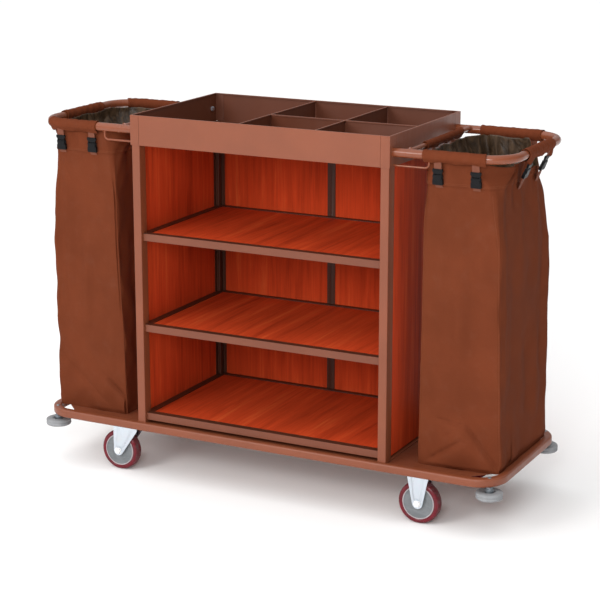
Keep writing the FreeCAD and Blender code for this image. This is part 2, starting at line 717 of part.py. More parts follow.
# ---- casters ------------------------------------------------------------------------
def wheel_tread(x, y):
    """The polyurethane tyre, with rounded shoulders."""
    half = WHEEL_WIDTH / 2
    r = TREAD_ROUND
    profile = [(TREAD_INNER_R, -half), (WHEEL_R - r, -half), (WHEEL_R, r - half)]
    profile += [(radius, -h) for radius, h in reversed(profile)]
    return wheel_turned(profile, (x, y, WHEEL_R))


def wheel_hub(x, y):
    """The wheel's core: a web with a lip at its edge and a boss on the axle."""
    boss, web, lip = HUB_LENGTH / 2, HUB_WEB / 2, HUB_LIP_WIDTH / 2
    bore = AXLE_R + RUNNING_GAP
    profile = [
        (bore, -boss),
        (HUB_BOSS_R, -boss),
        (HUB_BOSS_R, -web),
        (HUB_LIP_R, -web),
        (HUB_LIP_R, -lip),
        (TREAD_INNER_R, -lip),
    ]
    profile += [(radius, -h) for radius, h in reversed(profile)]
    return wheel_turned(profile, (x, y, WHEEL_R))


def axle(x, y):
    """A wheel's axle bolt, and the nut on its far end."""
    out = FORK_GAP / 2 + FORK_SHEET
    tip = out + HEX_M10[1] + 1
    bolt = rod(AXLE_R, (x, y - out, WHEEL_R), (x, y + tip, WHEEL_R))
    head = hexagon(HEX_M10, (x, y - out - HEX_M10[1], WHEEL_R), (0, 1, 0))
    nut = hexagon(HEX_M10, (x, y + out, WHEEL_R), (0, 1, 0))
    return Part.makeCompound([bolt.fuse(head), nut.cut(bolt)])


def tangent_point(corner, side):
    """Where the line from a corner meets the fork's eye, which is centred at the origin."""
    distance = math.hypot(*corner)
    angle = math.atan2(corner[1], corner[0]) + side * math.acos(FORK_EYE_R / distance)
    return (FORK_EYE_R * math.cos(angle), FORK_EYE_R * math.sin(angle))


def fork_leg(near, far, top, inner):
    """A fork's side plate round the axle at the origin, with a raised rib down its middle.

    near and far are its ends along X at the top, and inner is its distance from the wheel's middle."""
    low = top - 4 * FORK_SHEET
    left = tangent_point((near, low), 1)
    right = tangent_point((far, low), -1)
    outline = [(near, top), (far, top), (far, low), right, left, (near, low)]
    side = 1 if inner > 0 else -1
    plate = extruded([(x, inner, z) for x, z in outline], (0, side * FORK_SHEET, 0))
    plate = plate.fuse(rod(FORK_EYE_R, (0, inner, 0), (0, inner + side * FORK_SHEET, 0)))
    half_rib = FORK_EYE_R / 2
    middle = (near + far) / 2
    foot = FORK_RIB_FOOT
    rib = [(middle - 2 * half_rib, top), (middle + 2 * half_rib, top), (half_rib, foot), (-half_rib, foot)]
    face = inner + side * FORK_SHEET
    plate = plate.fuse(extruded([(x, face, z) for x, z in rib], (0, side * FORK_RIB, 0)))
    return plate.cut(rod(AXLE_R, (0, -FORK_GAP, 0), (0, FORK_GAP, 0)))


def fork_legs(near, far, top):
    """Both side plates, about the axle's line."""
    return fork_leg(near, far, top, -FORK_GAP / 2).fuse(fork_leg(near, far, top, FORK_GAP / 2))


def top_plate(x, y):
    """The flat plate that is bolted under the crossmember."""
    half_x, half_y = PLATE_LENGTH / 2, PLATE_WIDTH / 2
    plate = block((x - half_x, x + half_x), (y - half_y, y + half_y), (PLATE_BOTTOM, CASTER_HEIGHT))
    for bolt_x, bolt_y in bolt_places(x, y):
        hole = rod(CASTER_BOLT_R, (bolt_x, bolt_y, PLATE_BOTTOM - 1), (bolt_x, bolt_y, CASTER_HEIGHT + 1))
        plate = plate.cut(hole)
    return plate


def rigid_fork(y):
    """A fixed caster's fork, welded to its top plate."""
    half = RIGID_FORK_LENGTH / 2
    legs = fork_legs(-half, half, PLATE_BOTTOM - WHEEL_R)
    legs.translate(V(CASTER_X, y, WHEEL_R))
    return legs.fuse(top_plate(CASTER_X, y)).removeSplitter()


def swivel_plates():
    """The swivel casters' top plates, each with its upper ball race and kingpin."""
    found = []
    race_bottom = FORK_TOP + FORK_SHEET + RACE_GAP
    head_top = FORK_TOP - FORK_SHEET - RACE_GAP
    head_bottom = head_top - KINGPIN_R
    for y in (-CASTER_Y, CASTER_Y):
        plate = top_plate(SWIVEL_X, y)
        for radius, low, high in (
            (RACE_R, race_bottom, PLATE_BOTTOM),
            (KINGPIN_R, head_bottom, PLATE_BOTTOM),
            (KINGPIN_HEAD_R, head_bottom, head_top),
        ):
            plate = plate.fuse(rod(radius, (SWIVEL_X, y, low), (SWIVEL_X, y, high)))
        found.append(plate.removeSplitter())
    return Part.makeCompound(found)


def swivel_fork(y):
    """A swivel caster's fork, with the lower ball race on top and a hole for the kingpin."""
    near = -FORK_EYE_R
    far = near + SWIVEL_FORK_LENGTH
    out = FORK_GAP / 2 + FORK_SHEET
    legs = fork_legs(near, far, FORK_TOP - WHEEL_R)
    legs.translate(V(-CASTER_X, y, WHEEL_R))
    crown = block((near - CASTER_X, far - CASTER_X), (y - out, y + out), (FORK_TOP - FORK_SHEET, FORK_TOP))
    race = rod(RACE_R - FORK_SHEET, (SWIVEL_X, y, FORK_TOP), (SWIVEL_X, y, FORK_TOP + FORK_SHEET))
    bore_start = (SWIVEL_X, y, FORK_TOP - THROUGH)
    bore = rod(KINGPIN_R + RUNNING_GAP, bore_start, (SWIVEL_X, y, FORK_TOP + THROUGH))
    return legs.fuse(crown).fuse(race).cut(bore).removeSplitter()


def caster_bolts():
    """The bolts of all four casters: heads below the plates, nuts inside the crossmembers."""
    found = []
    web_top = CASTER_HEIGHT + DECK_SHEET
    for plate in plate_places():
        for x, y in bolt_places(*plate):
            tip = web_top + HEX_M8[1]
            bolt = rod(CASTER_BOLT_R, (x, y, PLATE_BOTTOM), (x, y, tip))
            head = hexagon(HEX_M8, (x, y, PLATE_BOTTOM - HEX_M8[1]), (0, 0, 1))
            found.append(bolt.fuse(head))
            found.append(hexagon(HEX_M8, (x, y, web_top), (0, 0, 1)).cut(bolt))
    return Part.makeCompound(found)


# ---- bumpers ------------------------------------------------------------------------
def bumper_disc(x, y):
    """A rubber disc that turns on its bolt, hollowed round the nut above."""
    half, r = BUMPER_HEIGHT / 2, BUMPER_ROUND
    bore = BUMPER_BOLT_R + RUNNING_GAP
    profile = [
        (bore, -half),
        (BUMPER_R - r, -half),
        (BUMPER_R, r - half),
        (BUMPER_R, half - r),
        (BUMPER_R - r, half),
        (BUMPER_RECESS_R, half),
        (BUMPER_RECESS_R, half - BUMPER_RECESS),
        (bore, half - BUMPER_RECESS),
    ]
    return turned(profile, (x, y, BUMPER_Z))


def bumper_bolts():
    """Each bumper's dome-headed bolt down through the rim, with a nut under the rim, a spacer
    in the disc's hollow, and a lock nut under the disc."""
    found = []
    disc_bottom = BUMPER_Z - BUMPER_HEIGHT / 2 - BUMPER_PLAY
    lock_bottom = disc_bottom - HEX_M10[1]
    spacer_bottom = BUMPER_Z + BUMPER_HEIGHT / 2 - BUMPER_RECESS + BUMPER_PLAY
    nut_bottom = RIM_BOTTOM - HEX_M10[1]
    for x, y in bumper_places():
        shank = rod(BUMPER_BOLT_R, (x, y, lock_bottom), (x, y, RIM_TOP))
        sphere_r = (BOLT_DOME_R ** 2 + BOLT_DOME_RISE ** 2) / (2 * BOLT_DOME_RISE)
        dome = Part.makeSphere(sphere_r, V(x, y, RIM_TOP + BOLT_DOME_RISE - sphere_r))
        over = (x - BOLT_DOME_R, x + BOLT_DOME_R), (y - BOLT_DOME_R, y + BOLT_DOME_R)
        dome = dome.common(block(*over, (RIM_TOP, RIM_TOP + BOLT_DOME_RISE)))
        found.append(shank.fuse(dome))
        spacer = rod(BUMPER_SPACER_R, (x, y, spacer_bottom), (x, y, nut_bottom))
        found.append(spacer.cut(shank))
        for base in (nut_bottom, lock_bottom):
            found.append(hexagon(HEX_M10, (x, y, base), (0, 0, 1)).cut(shank))
    return Part.makeCompound(found)


# ---- all the sub-parts ----------------------------------------------------------------
straps, buckles = bag_straps_and_buckles()
nodes = {
    "base_rim": base_rim(),
    "base_deck": base_deck(),
    "crossmembers": crossmembers(),
    "side_sills": side_sills(),
    "back_strip": back_strip(),
    "tray_front": tray_long_wall(-1),
    "tray_back": tray_long_wall(1),
    "tray_left": tray_end_wall(-1),
    "tray_right": tray_end_wall(1),
    "tray_floor": tray_floor(),
    "tray_corners": tray_corners(),
    "tray_divider_left": tray_divider(DIVIDER_LEFT_X, False),
    "tray_divider_right": tray_divider(DIVIDER_RIGHT_X, True),
    "tray_divider_cross": tray_divider_cross(),
    "hoop_bolts": hoop_bolts(),
    "hoop_crossbars": hoop_crossbars(),
    "hoop_braces": hoop_braces(),
    "bag_sleeves": bag_sleeves(),
    "bag_straps": straps,
    "bag_buckles": buckles,
    "swivel_plates": swivel_plates(),
    "caster_bolts": caster_bolts(),
    "rigid_axles": Part.makeCompound([axle(CASTER_X, sy * CASTER_Y) for sy in (-1, 1)]),
    "bumper_bolts": bumper_bolts(),
}
for side, sx in SIDES.items():
    nodes["side_panel_" + side] = side_panel(sx)
    nodes["back_panel_" + side] = back_panel(sx)
    nodes["hoop_" + side] = hoop(sx)
    nodes["bag_" + side] = bag_body(sx)
    for end, sy in ENDS.items():
        caster = end + "_" + side
        wheel = (sx * CASTER_X, sy * CASTER_Y)
        nodes["post_" + caster] = post(sx, sy)
        nodes["bumper_" + caster] = bumper_disc(sx * BUMPER_X, sy * BUMPER_Y)
        nodes["tread_" + caster] = wheel_tread(*wheel)
        nodes["hub_" + caster] = wheel_hub(*wheel)
        if sx > 0:
            nodes["fork_" + caster] = rigid_fork(sy * CASTER_Y)
        else:
            nodes["fork_" + caster] = swivel_fork(sy * CASTER_Y)
            nodes["axle_" + caster] = axle(*wheel)
for level, top in SHELF_TOPS.items():
    nodes["shelf_frame_" + level] = shelf_frame(top)
    nodes["shelf_board_" + level] = shelf_board(top)

os.makedirs("parts", exist_ok=True)
for name, shape in nodes.items():
    shape.exportStep("parts/" + name + ".step")
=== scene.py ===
import math

import bmesh
import bpy
import numpy as np
from mathutils import Matrix, Vector


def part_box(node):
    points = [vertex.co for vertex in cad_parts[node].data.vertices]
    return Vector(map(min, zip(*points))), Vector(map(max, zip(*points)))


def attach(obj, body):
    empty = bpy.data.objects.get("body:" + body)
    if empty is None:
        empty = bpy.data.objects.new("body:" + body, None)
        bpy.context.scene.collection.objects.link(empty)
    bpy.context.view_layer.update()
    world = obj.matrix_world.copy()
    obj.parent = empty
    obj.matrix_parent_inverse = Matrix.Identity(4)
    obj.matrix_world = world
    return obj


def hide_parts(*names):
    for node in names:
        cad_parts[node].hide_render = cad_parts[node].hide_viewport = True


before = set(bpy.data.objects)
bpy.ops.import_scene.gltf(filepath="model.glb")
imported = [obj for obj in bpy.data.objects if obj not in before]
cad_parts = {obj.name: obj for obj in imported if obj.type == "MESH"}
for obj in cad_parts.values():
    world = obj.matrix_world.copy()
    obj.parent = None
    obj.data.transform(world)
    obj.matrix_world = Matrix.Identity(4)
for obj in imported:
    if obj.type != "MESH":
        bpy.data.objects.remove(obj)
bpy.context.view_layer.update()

# ---- base tube -----------------------------------------------------------------------------------
# The cart stands on one square steel tube, bent into a rounded ring and welded shut at
# the middle of its back run. It is ground smooth and coated with brown powder paint,
# which cures with a faint orange peel.
base_low, base_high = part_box("base_rim")
TUBE = base_high.z - base_low.z
BEND_R = 0.090
TUBE_ROUND = 0.006
BROWN = (0.188, 0.049, 0.0195)


class Value:
    """A socket of a finish's node tree. Arithmetic on it adds Math nodes."""

    def __init__(self, finish, socket):
        self.finish = finish
        self.socket = socket

    def math(self, operation, *others):
        return self.finish.node("ShaderNodeMath", {"operation": operation}, self, *others)

    def __add__(self, other):
        return self.math("ADD", other)

    def __sub__(self, other):
        return self.math("SUBTRACT", other)

    def __mul__(self, other):
        return self.math("MULTIPLY", other)

    def __rsub__(self, other):
        return self.finish.node("ShaderNodeMath", {"operation": "SUBTRACT"}, other, self)

    __radd__ = __add__
    __rmul__ = __mul__


class Finish:
    """One material, with its Principled shader and the nodes that feed it."""

    def __init__(self, name, **constants):
        self.material = bpy.data.materials.new(name)
        self.material.use_nodes = True
        self.tree = self.material.node_tree
        self.shader = self.tree.nodes["Principled BSDF"]
        for socket, value in constants.items():
            self.shader.inputs[socket.replace("_", " ")].default_value = value

    def node(self, kind, settings=None, *values, out=0, **named):
        """Adds a node: first its settings, then its sockets by place or by name."""
        made = self.tree.nodes.new(kind)
        for key, setting in (settings or {}).items():
            if key == "stops":
                ramp = made.color_ramp.elements
                while len(ramp) < len(setting):
                    ramp.new(0.5)
                for stop, (place, colour) in zip(ramp, setting):
                    stop.position = place
                    stop.color = (*colour, 1.0)
            else:
                setattr(made, key, setting)
        for key, value in list(enumerate(values)) + list(named.items()):
            socket = made.inputs[key.replace("_", " ") if isinstance(key, str) else key]
            if isinstance(value, Value):
                self.tree.links.new(value.socket, socket)
            else:
                socket.default_value = value
        return Value(self, made.outputs[out])

    def place(self, scale=(1.0, 1.0, 1.0), source="Object", shift=(0.0, 0.0, 0.0)):
        """The surface's own coordinates in metres, moved and stretched for a pattern."""
        where = self.node("ShaderNodeTexCoord", None, out=source)
        return self.node("ShaderNodeMapping", None, where, Location=shift, Scale=scale)

    def uv(self, part):
        """One number of the surface's own UV."""
        where = self.node("ShaderNodeTexCoord", None, out="UV")
        return self.node("ShaderNodeSeparateXYZ", None, where, out=part)

    def noise(self, where, scale, detail=2.0, rough=0.5, distort=0.0):
        return self.node("ShaderNodeTexNoise", None, Vector=where, Scale=scale, Detail=detail, Roughness=rough,
                         Distortion=distort)

    def between(self, value, low, high, to_low=0.0, to_high=1.0):
        """A value stretched from one range to another, with soft ends."""
        settings = {"interpolation_type": "SMOOTHSTEP"}
        return self.node("ShaderNodeMapRange", settings, value, low, high, to_low, to_high)

    def blend(self, factor, first, second):
        """Two colours mixed by a factor."""
        made = self.tree.nodes.new("ShaderNodeMix")
        made.data_type = "RGBA"
        for index, value in ((0, factor), (6, first), (7, second)):
            if isinstance(value, Value):
                self.tree.links.new(value.socket, made.inputs[index])
            else:
                made.inputs[index].default_value = value if index == 0 else (*value, 1.0)
        return Value(self, made.outputs[2])

    def bump(self, height, distance, strength=1.0):
        return self.node("ShaderNodeBump", None, Strength=strength, Distance=distance, Height=height)

    def feed(self, **links):
        """Links values to the shader's sockets and gives back the material."""
        for socket, value in links.items():
            self.tree.links.new(value.socket, self.shader.inputs[socket.replace("_", " ")])
        return self.material


def tone(colour, factor):
    return tuple(c * factor for c in colour)


def powder_coat(name, colour, gloss):
    """Brown powder paint: orange peel, fine speckle, and handling marks in the gloss."""
    f = Finish(name, IOR=1.5, Specular_IOR_Level=0.42)
    where = f.place()
    peel = f.noise(where, 420.0, 2.0)
    speckle = f.noise(where, 1600.0, 1.0)
    broad = f.noise(where, 5.0, 4.0, 0.6)
    shade = f.blend(f.between(broad, 0.35, 0.7), tone(colour, 0.93), tone(colour, 1.06))
    shade = f.blend(f.between(speckle, 0.45, 0.75, 0.0, 0.35), shade, tone(colour, 1.35))
    smears = f.noise(f.place((1.0, 1.0, 0.35)), 22.0, 5.0, 0.7)
    roughness = f.between(smears, 0.3, 0.75, gloss - 0.05, gloss + 0.09)
    return f.feed(Base_Color=shade, Roughness=roughness, Normal=f.bump(peel, 0.00012, 0.8))


def finish_piece(name, points, faces, material, body, slot, stands_for=(), sharp=35.0, uv=None):
    """Makes a mesh object from points and faces, shades it, and ties it to its body and node."""
    mesh = bpy.data.meshes.new(name)
    mesh.from_pydata([tuple(p) for p in points], [], faces)
    for m in material if isinstance(material, (list, tuple)) else [material]:
        mesh.materials.append(m)
    if uv is not None:
        layer = mesh.uv_layers.new(name="UVMap")
        corners = [uv[v] for face in faces for v in face]
        layer.data.foreach_set("uv", np.array(corners, np.float32).ravel())
    return adopt(name, mesh, body, stands_for, sharp)


def adopt(name, mesh, body, stands_for=(), sharp=35.0):
    """Shades a finished mesh and ties its object to a body and the nodes it stands for."""
    mesh.update()
    mesh.shade_smooth()
    mesh.set_sharp_from_angle(angle=math.radians(sharp))
    piece = bpy.data.objects.new(name, mesh)
    bpy.context.scene.collection.objects.link(piece)
    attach(piece, body)
    if stands_for:
        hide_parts(*stands_for)
    return piece


def rounded_ring(half_x, half_y, radius, steps):
    """Points round a rounded rectangle, with the outward direction at each."""
    found = []
    for corner, (sx, sy) in enumerate(((1, -1), (1, 1), (-1, 1), (-1, -1))):
        centre = Vector((sx * (half_x - radius), sy * (half_y - radius)))
        for step in range(steps + 1):
            angle = math.radians(-90.0 + 90.0 * (corner + step / steps))
            out = Vector((math.cos(angle), math.sin(angle)))
            found.append((centre + out * radius, out))
    return found


def rounded_square(half, radius, steps):
    """The tube's section, as (outward, up) pairs."""
    return [tuple(p) for p, _out in rounded_ring(half, half, radius, steps)]


def grid_faces(rows, columns, wrap_rows, wrap_columns):
    """Quads over a grid of points that are stored row by row."""
    faces = []
    for r in range(rows if wrap_rows else rows - 1):
        for c in range(columns if wrap_columns else columns - 1):
            r2, c2 = (r + 1) % rows, (c + 1) % columns
            faces.append((r * columns + c, r2 * columns + c, r2 * columns + c2, r * columns + c2))
    return faces


brown_coat = powder_coat("brown powder coat", BROWN, 0.40)
section = rounded_square(TUBE / 2, TUBE_ROUND, 5)
tube_z = (base_low.z + base_high.z) / 2
route = rounded_ring(base_high.x - TUBE / 2, base_high.y - TUBE / 2, BEND_R - TUBE / 2, 18)
points = [(*(centre + out * u), tube_z + v) for centre, out in route for u, v in section]
finish_piece(
    "base_tube", points, grid_faces(len(route), len(section), True, True), brown_coat,
    "chassis", "powder_coat", ["base_rim"],
)

# ---- base sheet and what is under it -------------------------------------------------------------
# A steel sheet is welded inside the tube and cut off at its corners, so that the floor
# shows through there. Two folded channels under it carry the casters, and flat bars on
# it take the cabinet's posts. All are powder coated with the tube.
EDGE = 0.0008
# The deck's coat is a little darker and rougher than the tube's.
deck_coat = powder_coat("darker brown powder coat on the deck", tone(BROWN, 0.92), 0.46)


def eased(piece, width, angle=50.0):
    """Rounds a piece's edges that are sharper than an angle."""
    ease = piece.modifiers.new("eased edges", "BEVEL")
    ease.width = width
    ease.segments = 2
    ease.limit_method = "ANGLE"
    ease.angle_limit = math.radians(angle)
    ease.harden_normals = True


def eased_copy(node, material, edge=EDGE, other=None, chosen=None):
    """A CAD piece with its folded and cut edges eased, and another material on its chosen faces."""
    build = bmesh.new()
    build.from_mesh(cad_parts[node].data)
    bmesh.ops.remove_doubles(build, verts=build.verts, dist=1e-5)
    bmesh.ops.dissolve_limit(build, angle_limit=math.radians(0.6), verts=build.verts, edges=build.edges)
    mesh = bpy.data.meshes.new(node + "_piece")
    build.to_mesh(mesh)
    build.free()
    mesh.materials.clear()
    mesh.materials.append(material)
    if other:
        mesh.materials.append(other)
        for face in mesh.polygons:
            face.material_index = int(chosen(face.center, face.normal))
    eased(adopt(node + "_piece", mesh, "chassis", [node], 40.0), edge, 40.0)


eased_copy("base_deck", deck_coat, 0.0006)
for under in ("crossmembers", "side_sills"):
    eased_copy(under, brown_coat)

# ---- caster forks --------------------------------------------------------------------------------
# Each caster's fork is pressed from 3 mm steel and plated with bright zinc: two legs with
# a raised rib down the middle, rounded round the axle. The right casters are fixed to
# their plates; the left ones turn under a ball race and trail behind it.
LEG_SHEET = 0.003
RIB_HEIGHT = 0.0042
EYE_R = 0.016
LEG_GAP = 0.019
TRAIL = 0.030
RACE_LOW, RACE_HIGH = 0.143, 0.1462
# Where a leg's edges stand along X from the axle.
SWIVEL_LEG = (-0.016, 0.068)
RIGID_LEG = (-0.033, 0.033)
ZINC = (0.62, 0.69, 0.75)


def zinc_plate(name, direction, brightness=1.0, rougher=0.0):
    """Bright zinc with a faint blue passivation, brushed along one way and handled a little."""
    f = Finish(name, Metallic=1.0)
    where = f.place()
    spangle = f.noise(where, 60.0, 5.0, 0.65, 0.6)
    brushed = f.noise(f.place(direction), 90.0, 3.0)
    shade = f.blend(f.between(spangle, 0.35, 0.7), tone(ZINC, brightness), tone((0.64, 0.68, 0.75), brightness))
    stained = f.between(f.noise(where, 14.0, 3.0), 0.55, 0.8, 0.0, 0.35)
    shade = f.blend(stained, shade, tone((0.62, 0.60, 0.55), brightness))
    roughness = f.between(brushed, 0.3, 0.7, 0.24 + rougher, 0.38 + rougher)
    return f.feed(Base_Color=shade, Roughness=roughness, Normal=f.bump(brushed, 0.00006, 0.6))


zinc = zinc_plate("bright zinc plate", (1.0, 1.0, 0.06))


def smooth_step(low, high, value):
    t = np.clip((value - low) / (high - low), 0.0, 1.0)
    return t * t * (3.0 - 2.0 * t)


def leg_line(corner, side):
    """Where the straight edge from a top corner meets the eye, as its angle round the axle."""
    return math.atan2(corner[1], corner[0]) + side * math.acos(EYE_R / math.hypot(*corner))


def pressed_leg(near, far, top, inner, out):
    """A leg's outer skin as a grid: rows down the leg and columns across it, with its rib."""
    rows, columns = 34, 25
    low = top - 0.010
    left, right = leg_line((near, low), 1), leg_line((far, low), -1)
    round_eye = EYE_R * np.cos(np.linspace(0.2, math.pi * 0.985, rows - 18))
    levels = np.concatenate([np.linspace(top, EYE_R, 18), round_eye])
    points = []

    def edge(x0, angle, z):
        meet = (EYE_R * math.cos(angle), EYE_R * math.sin(angle))
        if z >= low:
            return x0
        if z >= meet[1]:
            return meet[0] + (x0 - meet[0]) * (z - meet[1]) / (low - meet[1])
        return math.copysign(math.sqrt(max(EYE_R ** 2 - z ** 2, 1e-9)), x0 - 1e-9 if x0 <= 0 else x0)

    for z in levels:
        a, b = edge(near, left, z), edge(far, right, z)
        for t in np.linspace(0.0, 1.0, columns):
            x = a + (b - a) * t
            across = 1.0 - smooth_step(0.20, 0.36, abs(t - 0.5))
            down = smooth_step(0.004, 0.018, z)
            points.append((x, inner + out * (LEG_SHEET + RIB_HEIGHT * across * down), z))
    return points, rows, columns


def thick_leg(near, far, top, inner, out, at):
    """A closed leg: the pressed outer skin, the same skin a sheet's thickness in, and the edge."""
    skin, rows, columns = pressed_leg(near, far, top, inner, out)
    back = [(x, y - out * LEG_SHEET, z) for x, y, z in skin]
    count = len(skin)
    faces = grid_faces(rows, columns, False, False)
    faces += [tuple(v + count for v in reversed(face)) for face in faces]
    rim = list(range(columns))
    rim += [r * columns + columns - 1 for r in range(1, rows)]
    rim += [(rows - 1) * columns + c for c in range(columns - 2, -1, -1)]
    rim += [r * columns for r in range(rows - 2, 0, -1)]
    for a, b in zip(rim, rim[1:] + rim[:1]):
        faces.append((b, a, a + count, b + count))
    return [tuple(Vector(p) + at) for p in skin + back], faces


def merged(parts):
    """Several (points, faces) lists as one."""
    points, faces = [], []
    for some_points, some_faces in parts:
        faces += [tuple(v + len(points) for v in face) for face in some_faces]
        points += some_points
    return points, faces


def slab(low, high):
    """A plain box, to be eased by a bevel."""
    points = [(x, y, z) for x in (low[0], high[0]) for y in (low[1], high[1]) for z in (low[2], high[2])]
    return points, [(0, 1, 3, 2), (4, 6, 7, 5), (0, 4, 5, 1), (2, 3, 7, 6), (0, 2, 6, 4), (1, 5, 7, 3)]


def lathed(profile, centre, axis, steps=48):
    """A closed profile of (radius, along) pairs turned about an axis through centre."""
    turn = Vector((0, 0, 1)).rotation_difference(Vector(axis))
    points = []
    for step in range(steps):
        a = 2.0 * math.pi * step / steps
        for r, h in profile:
            points.append(tuple(centre + turn @ Vector((r * math.cos(a), r * math.sin(a), h))))
    return points, grid_faces(steps, len(profile), True, True)


def outward(piece):
    """Makes a new closed piece's faces point outwards."""
    build = bmesh.new()
    build.from_mesh(piece.data)
    bmesh.ops.remove_doubles(build, verts=build.verts, dist=1e-6)
    bmesh.ops.recalc_face_normals(build, faces=build.faces)
    build.to_mesh(piece.data)
    build.free()
    return piece


for end in ("front", "back"):
    for side in ("left", "right"):
        node = "fork_%s_%s" % (end, side)
        low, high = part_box(node)
        wheel_low, wheel_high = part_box("tread_%s_%s" % (end, side))
        axle = (wheel_low + wheel_high) / 2
        near, far = SWIVEL_LEG if side == "left" else RIGID_LEG
        top = RACE_LOW - axle.z if side == "left" else high.z - axle.z - LEG_SHEET
        parts = [thick_leg(near, far, top, s * LEG_GAP, s, axle) for s in (-1, 1)]
        x0, x1 = axle.x + near, axle.x + far
        if side == "left":
            y0, y1 = axle.y - LEG_GAP - LEG_SHEET, axle.y + LEG_GAP + LEG_SHEET
            parts.append(slab((x0, y0, RACE_LOW - LEG_SHEET), (x1, y1, RACE_LOW + 0.0002)))
            race = [(0.0062, RACE_LOW), (0.024, RACE_LOW), (0.026, RACE_LOW + 0.0015), (0.026, RACE_HIGH),
                    (0.0062, RACE_HIGH)]
            parts.append(lathed(race, Vector((axle.x + TRAIL, axle.y, 0.0)), (0, 0, 1)))
            body = "swivel_%s_left" % end
        else:
            parts.append(slab((low.x, low.y, high.z - LEG_SHEET), (high.x, high.y, high.z)))
            body = "chassis"
        points, faces = merged(parts)
        fork = finish_piece(node + "_piece", points, faces, zinc, body, "zinc", [node], 45.0)
        eased(outward(fork), 0.0007)

# ---- caster plates and fasteners -----------------------------------------------------------------
# The swivel casters' plates carry the upper ball race and the kingpin. Zinc-plated M8 bolts
# with hexagon heads hold all four plates to the channels, with a washer under every head
# and nut; one tree makes every hexagon fastener on the cart.
FLATS_M8, HEIGHT_M8 = 0.013, 0.0041
FLATS_M10, HEIGHT_M10 = 0.017, 0.0064


def tree_node(tree, kind, settings=None, **inputs):
    """A geometry node: first its settings, then its sockets by name, as values or links."""
    made = tree.nodes.new(kind)
    for key, value in (settings or {}).items():
        setattr(made, key, value)
    for key, value in inputs.items():
        socket = made.inputs[key.replace("_", " ")]
        if hasattr(value, "is_output"):
            tree.links.new(value, socket)
        else:
            socket.default_value = value
    return made


def new_tree(name, sizes):
    """A geometry tree with named inputs, and the sockets that they come out of."""
    tree = bpy.data.node_groups.new(name, "GeometryNodeTree")
    tree.interface.new_socket("Geometry", in_out="OUTPUT", socket_type="NodeSocketGeometry")
    tree.interface.new_socket("Places", in_out="INPUT", socket_type="NodeSocketGeometry")
    for size in sizes:
        tree.interface.new_socket(size, in_out="INPUT", socket_type="NodeSocketFloat")
    tree.interface.new_socket("Finish", in_out="INPUT", socket_type="NodeSocketMaterial")
    return tree, tree.nodes.new("NodeGroupInput").outputs


def end_tree(tree, instances, given):
    """Realizes the instances, gives them their finish and ends the tree."""
    real = tree_node(tree, "GeometryNodeRealizeInstances", Geometry=instances)
    finished = tree_node(tree, "GeometryNodeSetMaterial", Geometry=real.outputs[0], Material=given["Finish"])
    tree.links.new(finished.outputs[0], tree.nodes.new("NodeGroupOutput").inputs[0])
    return tree


def hexagon_fasteners():
    """A hexagon with a turned chamfer on a round washer, stood on each point along its turn."""
    tree, given = new_tree("hexagon fasteners", ["Corner radius", "Height", "Washer radius", "Washer height"])

    def part_of(value, factor, start=None):
        """A share of a size, and more on top of it if there is a start."""
        scaled = tree_node(tree, "ShaderNodeMath", {"operation": "MULTIPLY"})
        tree.links.new(value, scaled.inputs[0])
        scaled.inputs[1].default_value = factor
        if start is None:
            return scaled.outputs[0]
        summed = tree_node(tree, "ShaderNodeMath", {"operation": "ADD"})
        tree.links.new(scaled.outputs[0], summed.inputs[0])
        tree.links.new(start, summed.inputs[1])
        return summed.outputs[0]

    def stood(kind, radii, height, base, sides):
        """A cylinder or cone moved up: a cylinder is made about its middle, and a cone on its foot."""
        solid = tree_node(tree, "GeometryNodeMesh" + kind, {"fill_type": "NGON"}, Vertices=sides, Depth=height,
                          **radii)
        up = tree_node(tree, "ShaderNodeCombineXYZ", None, Z=base).outputs[0]
        return tree_node(tree, "GeometryNodeTransform", None, Geometry=solid.outputs[0], Translation=up)

    washer_height, corner = given["Washer height"], given["Corner radius"]
    washer = stood("Cylinder", {"Radius": given["Washer radius"]}, washer_height,
                   part_of(washer_height, 0.5), 24)
    body = stood("Cylinder", {"Radius": corner}, part_of(given["Height"], 0.80),
                 part_of(given["Height"], 0.40, washer_height), 6)
    chamfer = stood("Cone", {"Radius_Top": part_of(corner, 0.82), "Radius_Bottom": corner},
                    part_of(given["Height"], 0.20), part_of(given["Height"], 0.80, washer_height), 6)
    whole = tree.nodes.new("GeometryNodeJoinGeometry")
    for piece in (washer, body, chamfer):
        tree.links.new(piece.outputs[0], whole.inputs[0])
    turn = tree_node(tree, "GeometryNodeInputNamedAttribute", {"data_type": "FLOAT_VECTOR"}, Name="turn")
    rotation = tree_node(tree, "FunctionNodeEulerToRotation", None, Euler=turn.outputs[0])
    placed = tree_node(tree, "GeometryNodeInstanceOnPoints", None, Points=given["Places"],
                       Instance=whole.outputs[0], Rotation=rotation.outputs[0])
    return end_tree(tree, placed.outputs[0], given)


def grown(name, source, tree, sizes, finish):
    """Runs a tree over a source mesh and gives back the plain mesh that it makes."""
    holder = bpy.data.objects.new(name + "_holder", source)
    bpy.context.scene.collection.objects.link(holder)
    growth = holder.modifiers.new("growth", "NODES")
    growth.node_group = tree
    for socket in tree.interface.items_tree:
        if socket.in_out == "INPUT" and socket.name in sizes:
            growth[socket.identifier] = sizes[socket.name]
        elif socket.name == "Finish":
            growth[socket.identifier] = finish
    bpy.context.view_layer.update()
    evaluated = holder.evaluated_get(bpy.context.evaluated_depsgraph_get())
    mesh = bpy.data.meshes.new_from_object(evaluated)
    mesh.name = name
    holder.modifiers.remove(growth)
    bpy.data.objects.remove(holder)
    return mesh


fasteners = hexagon_fasteners()


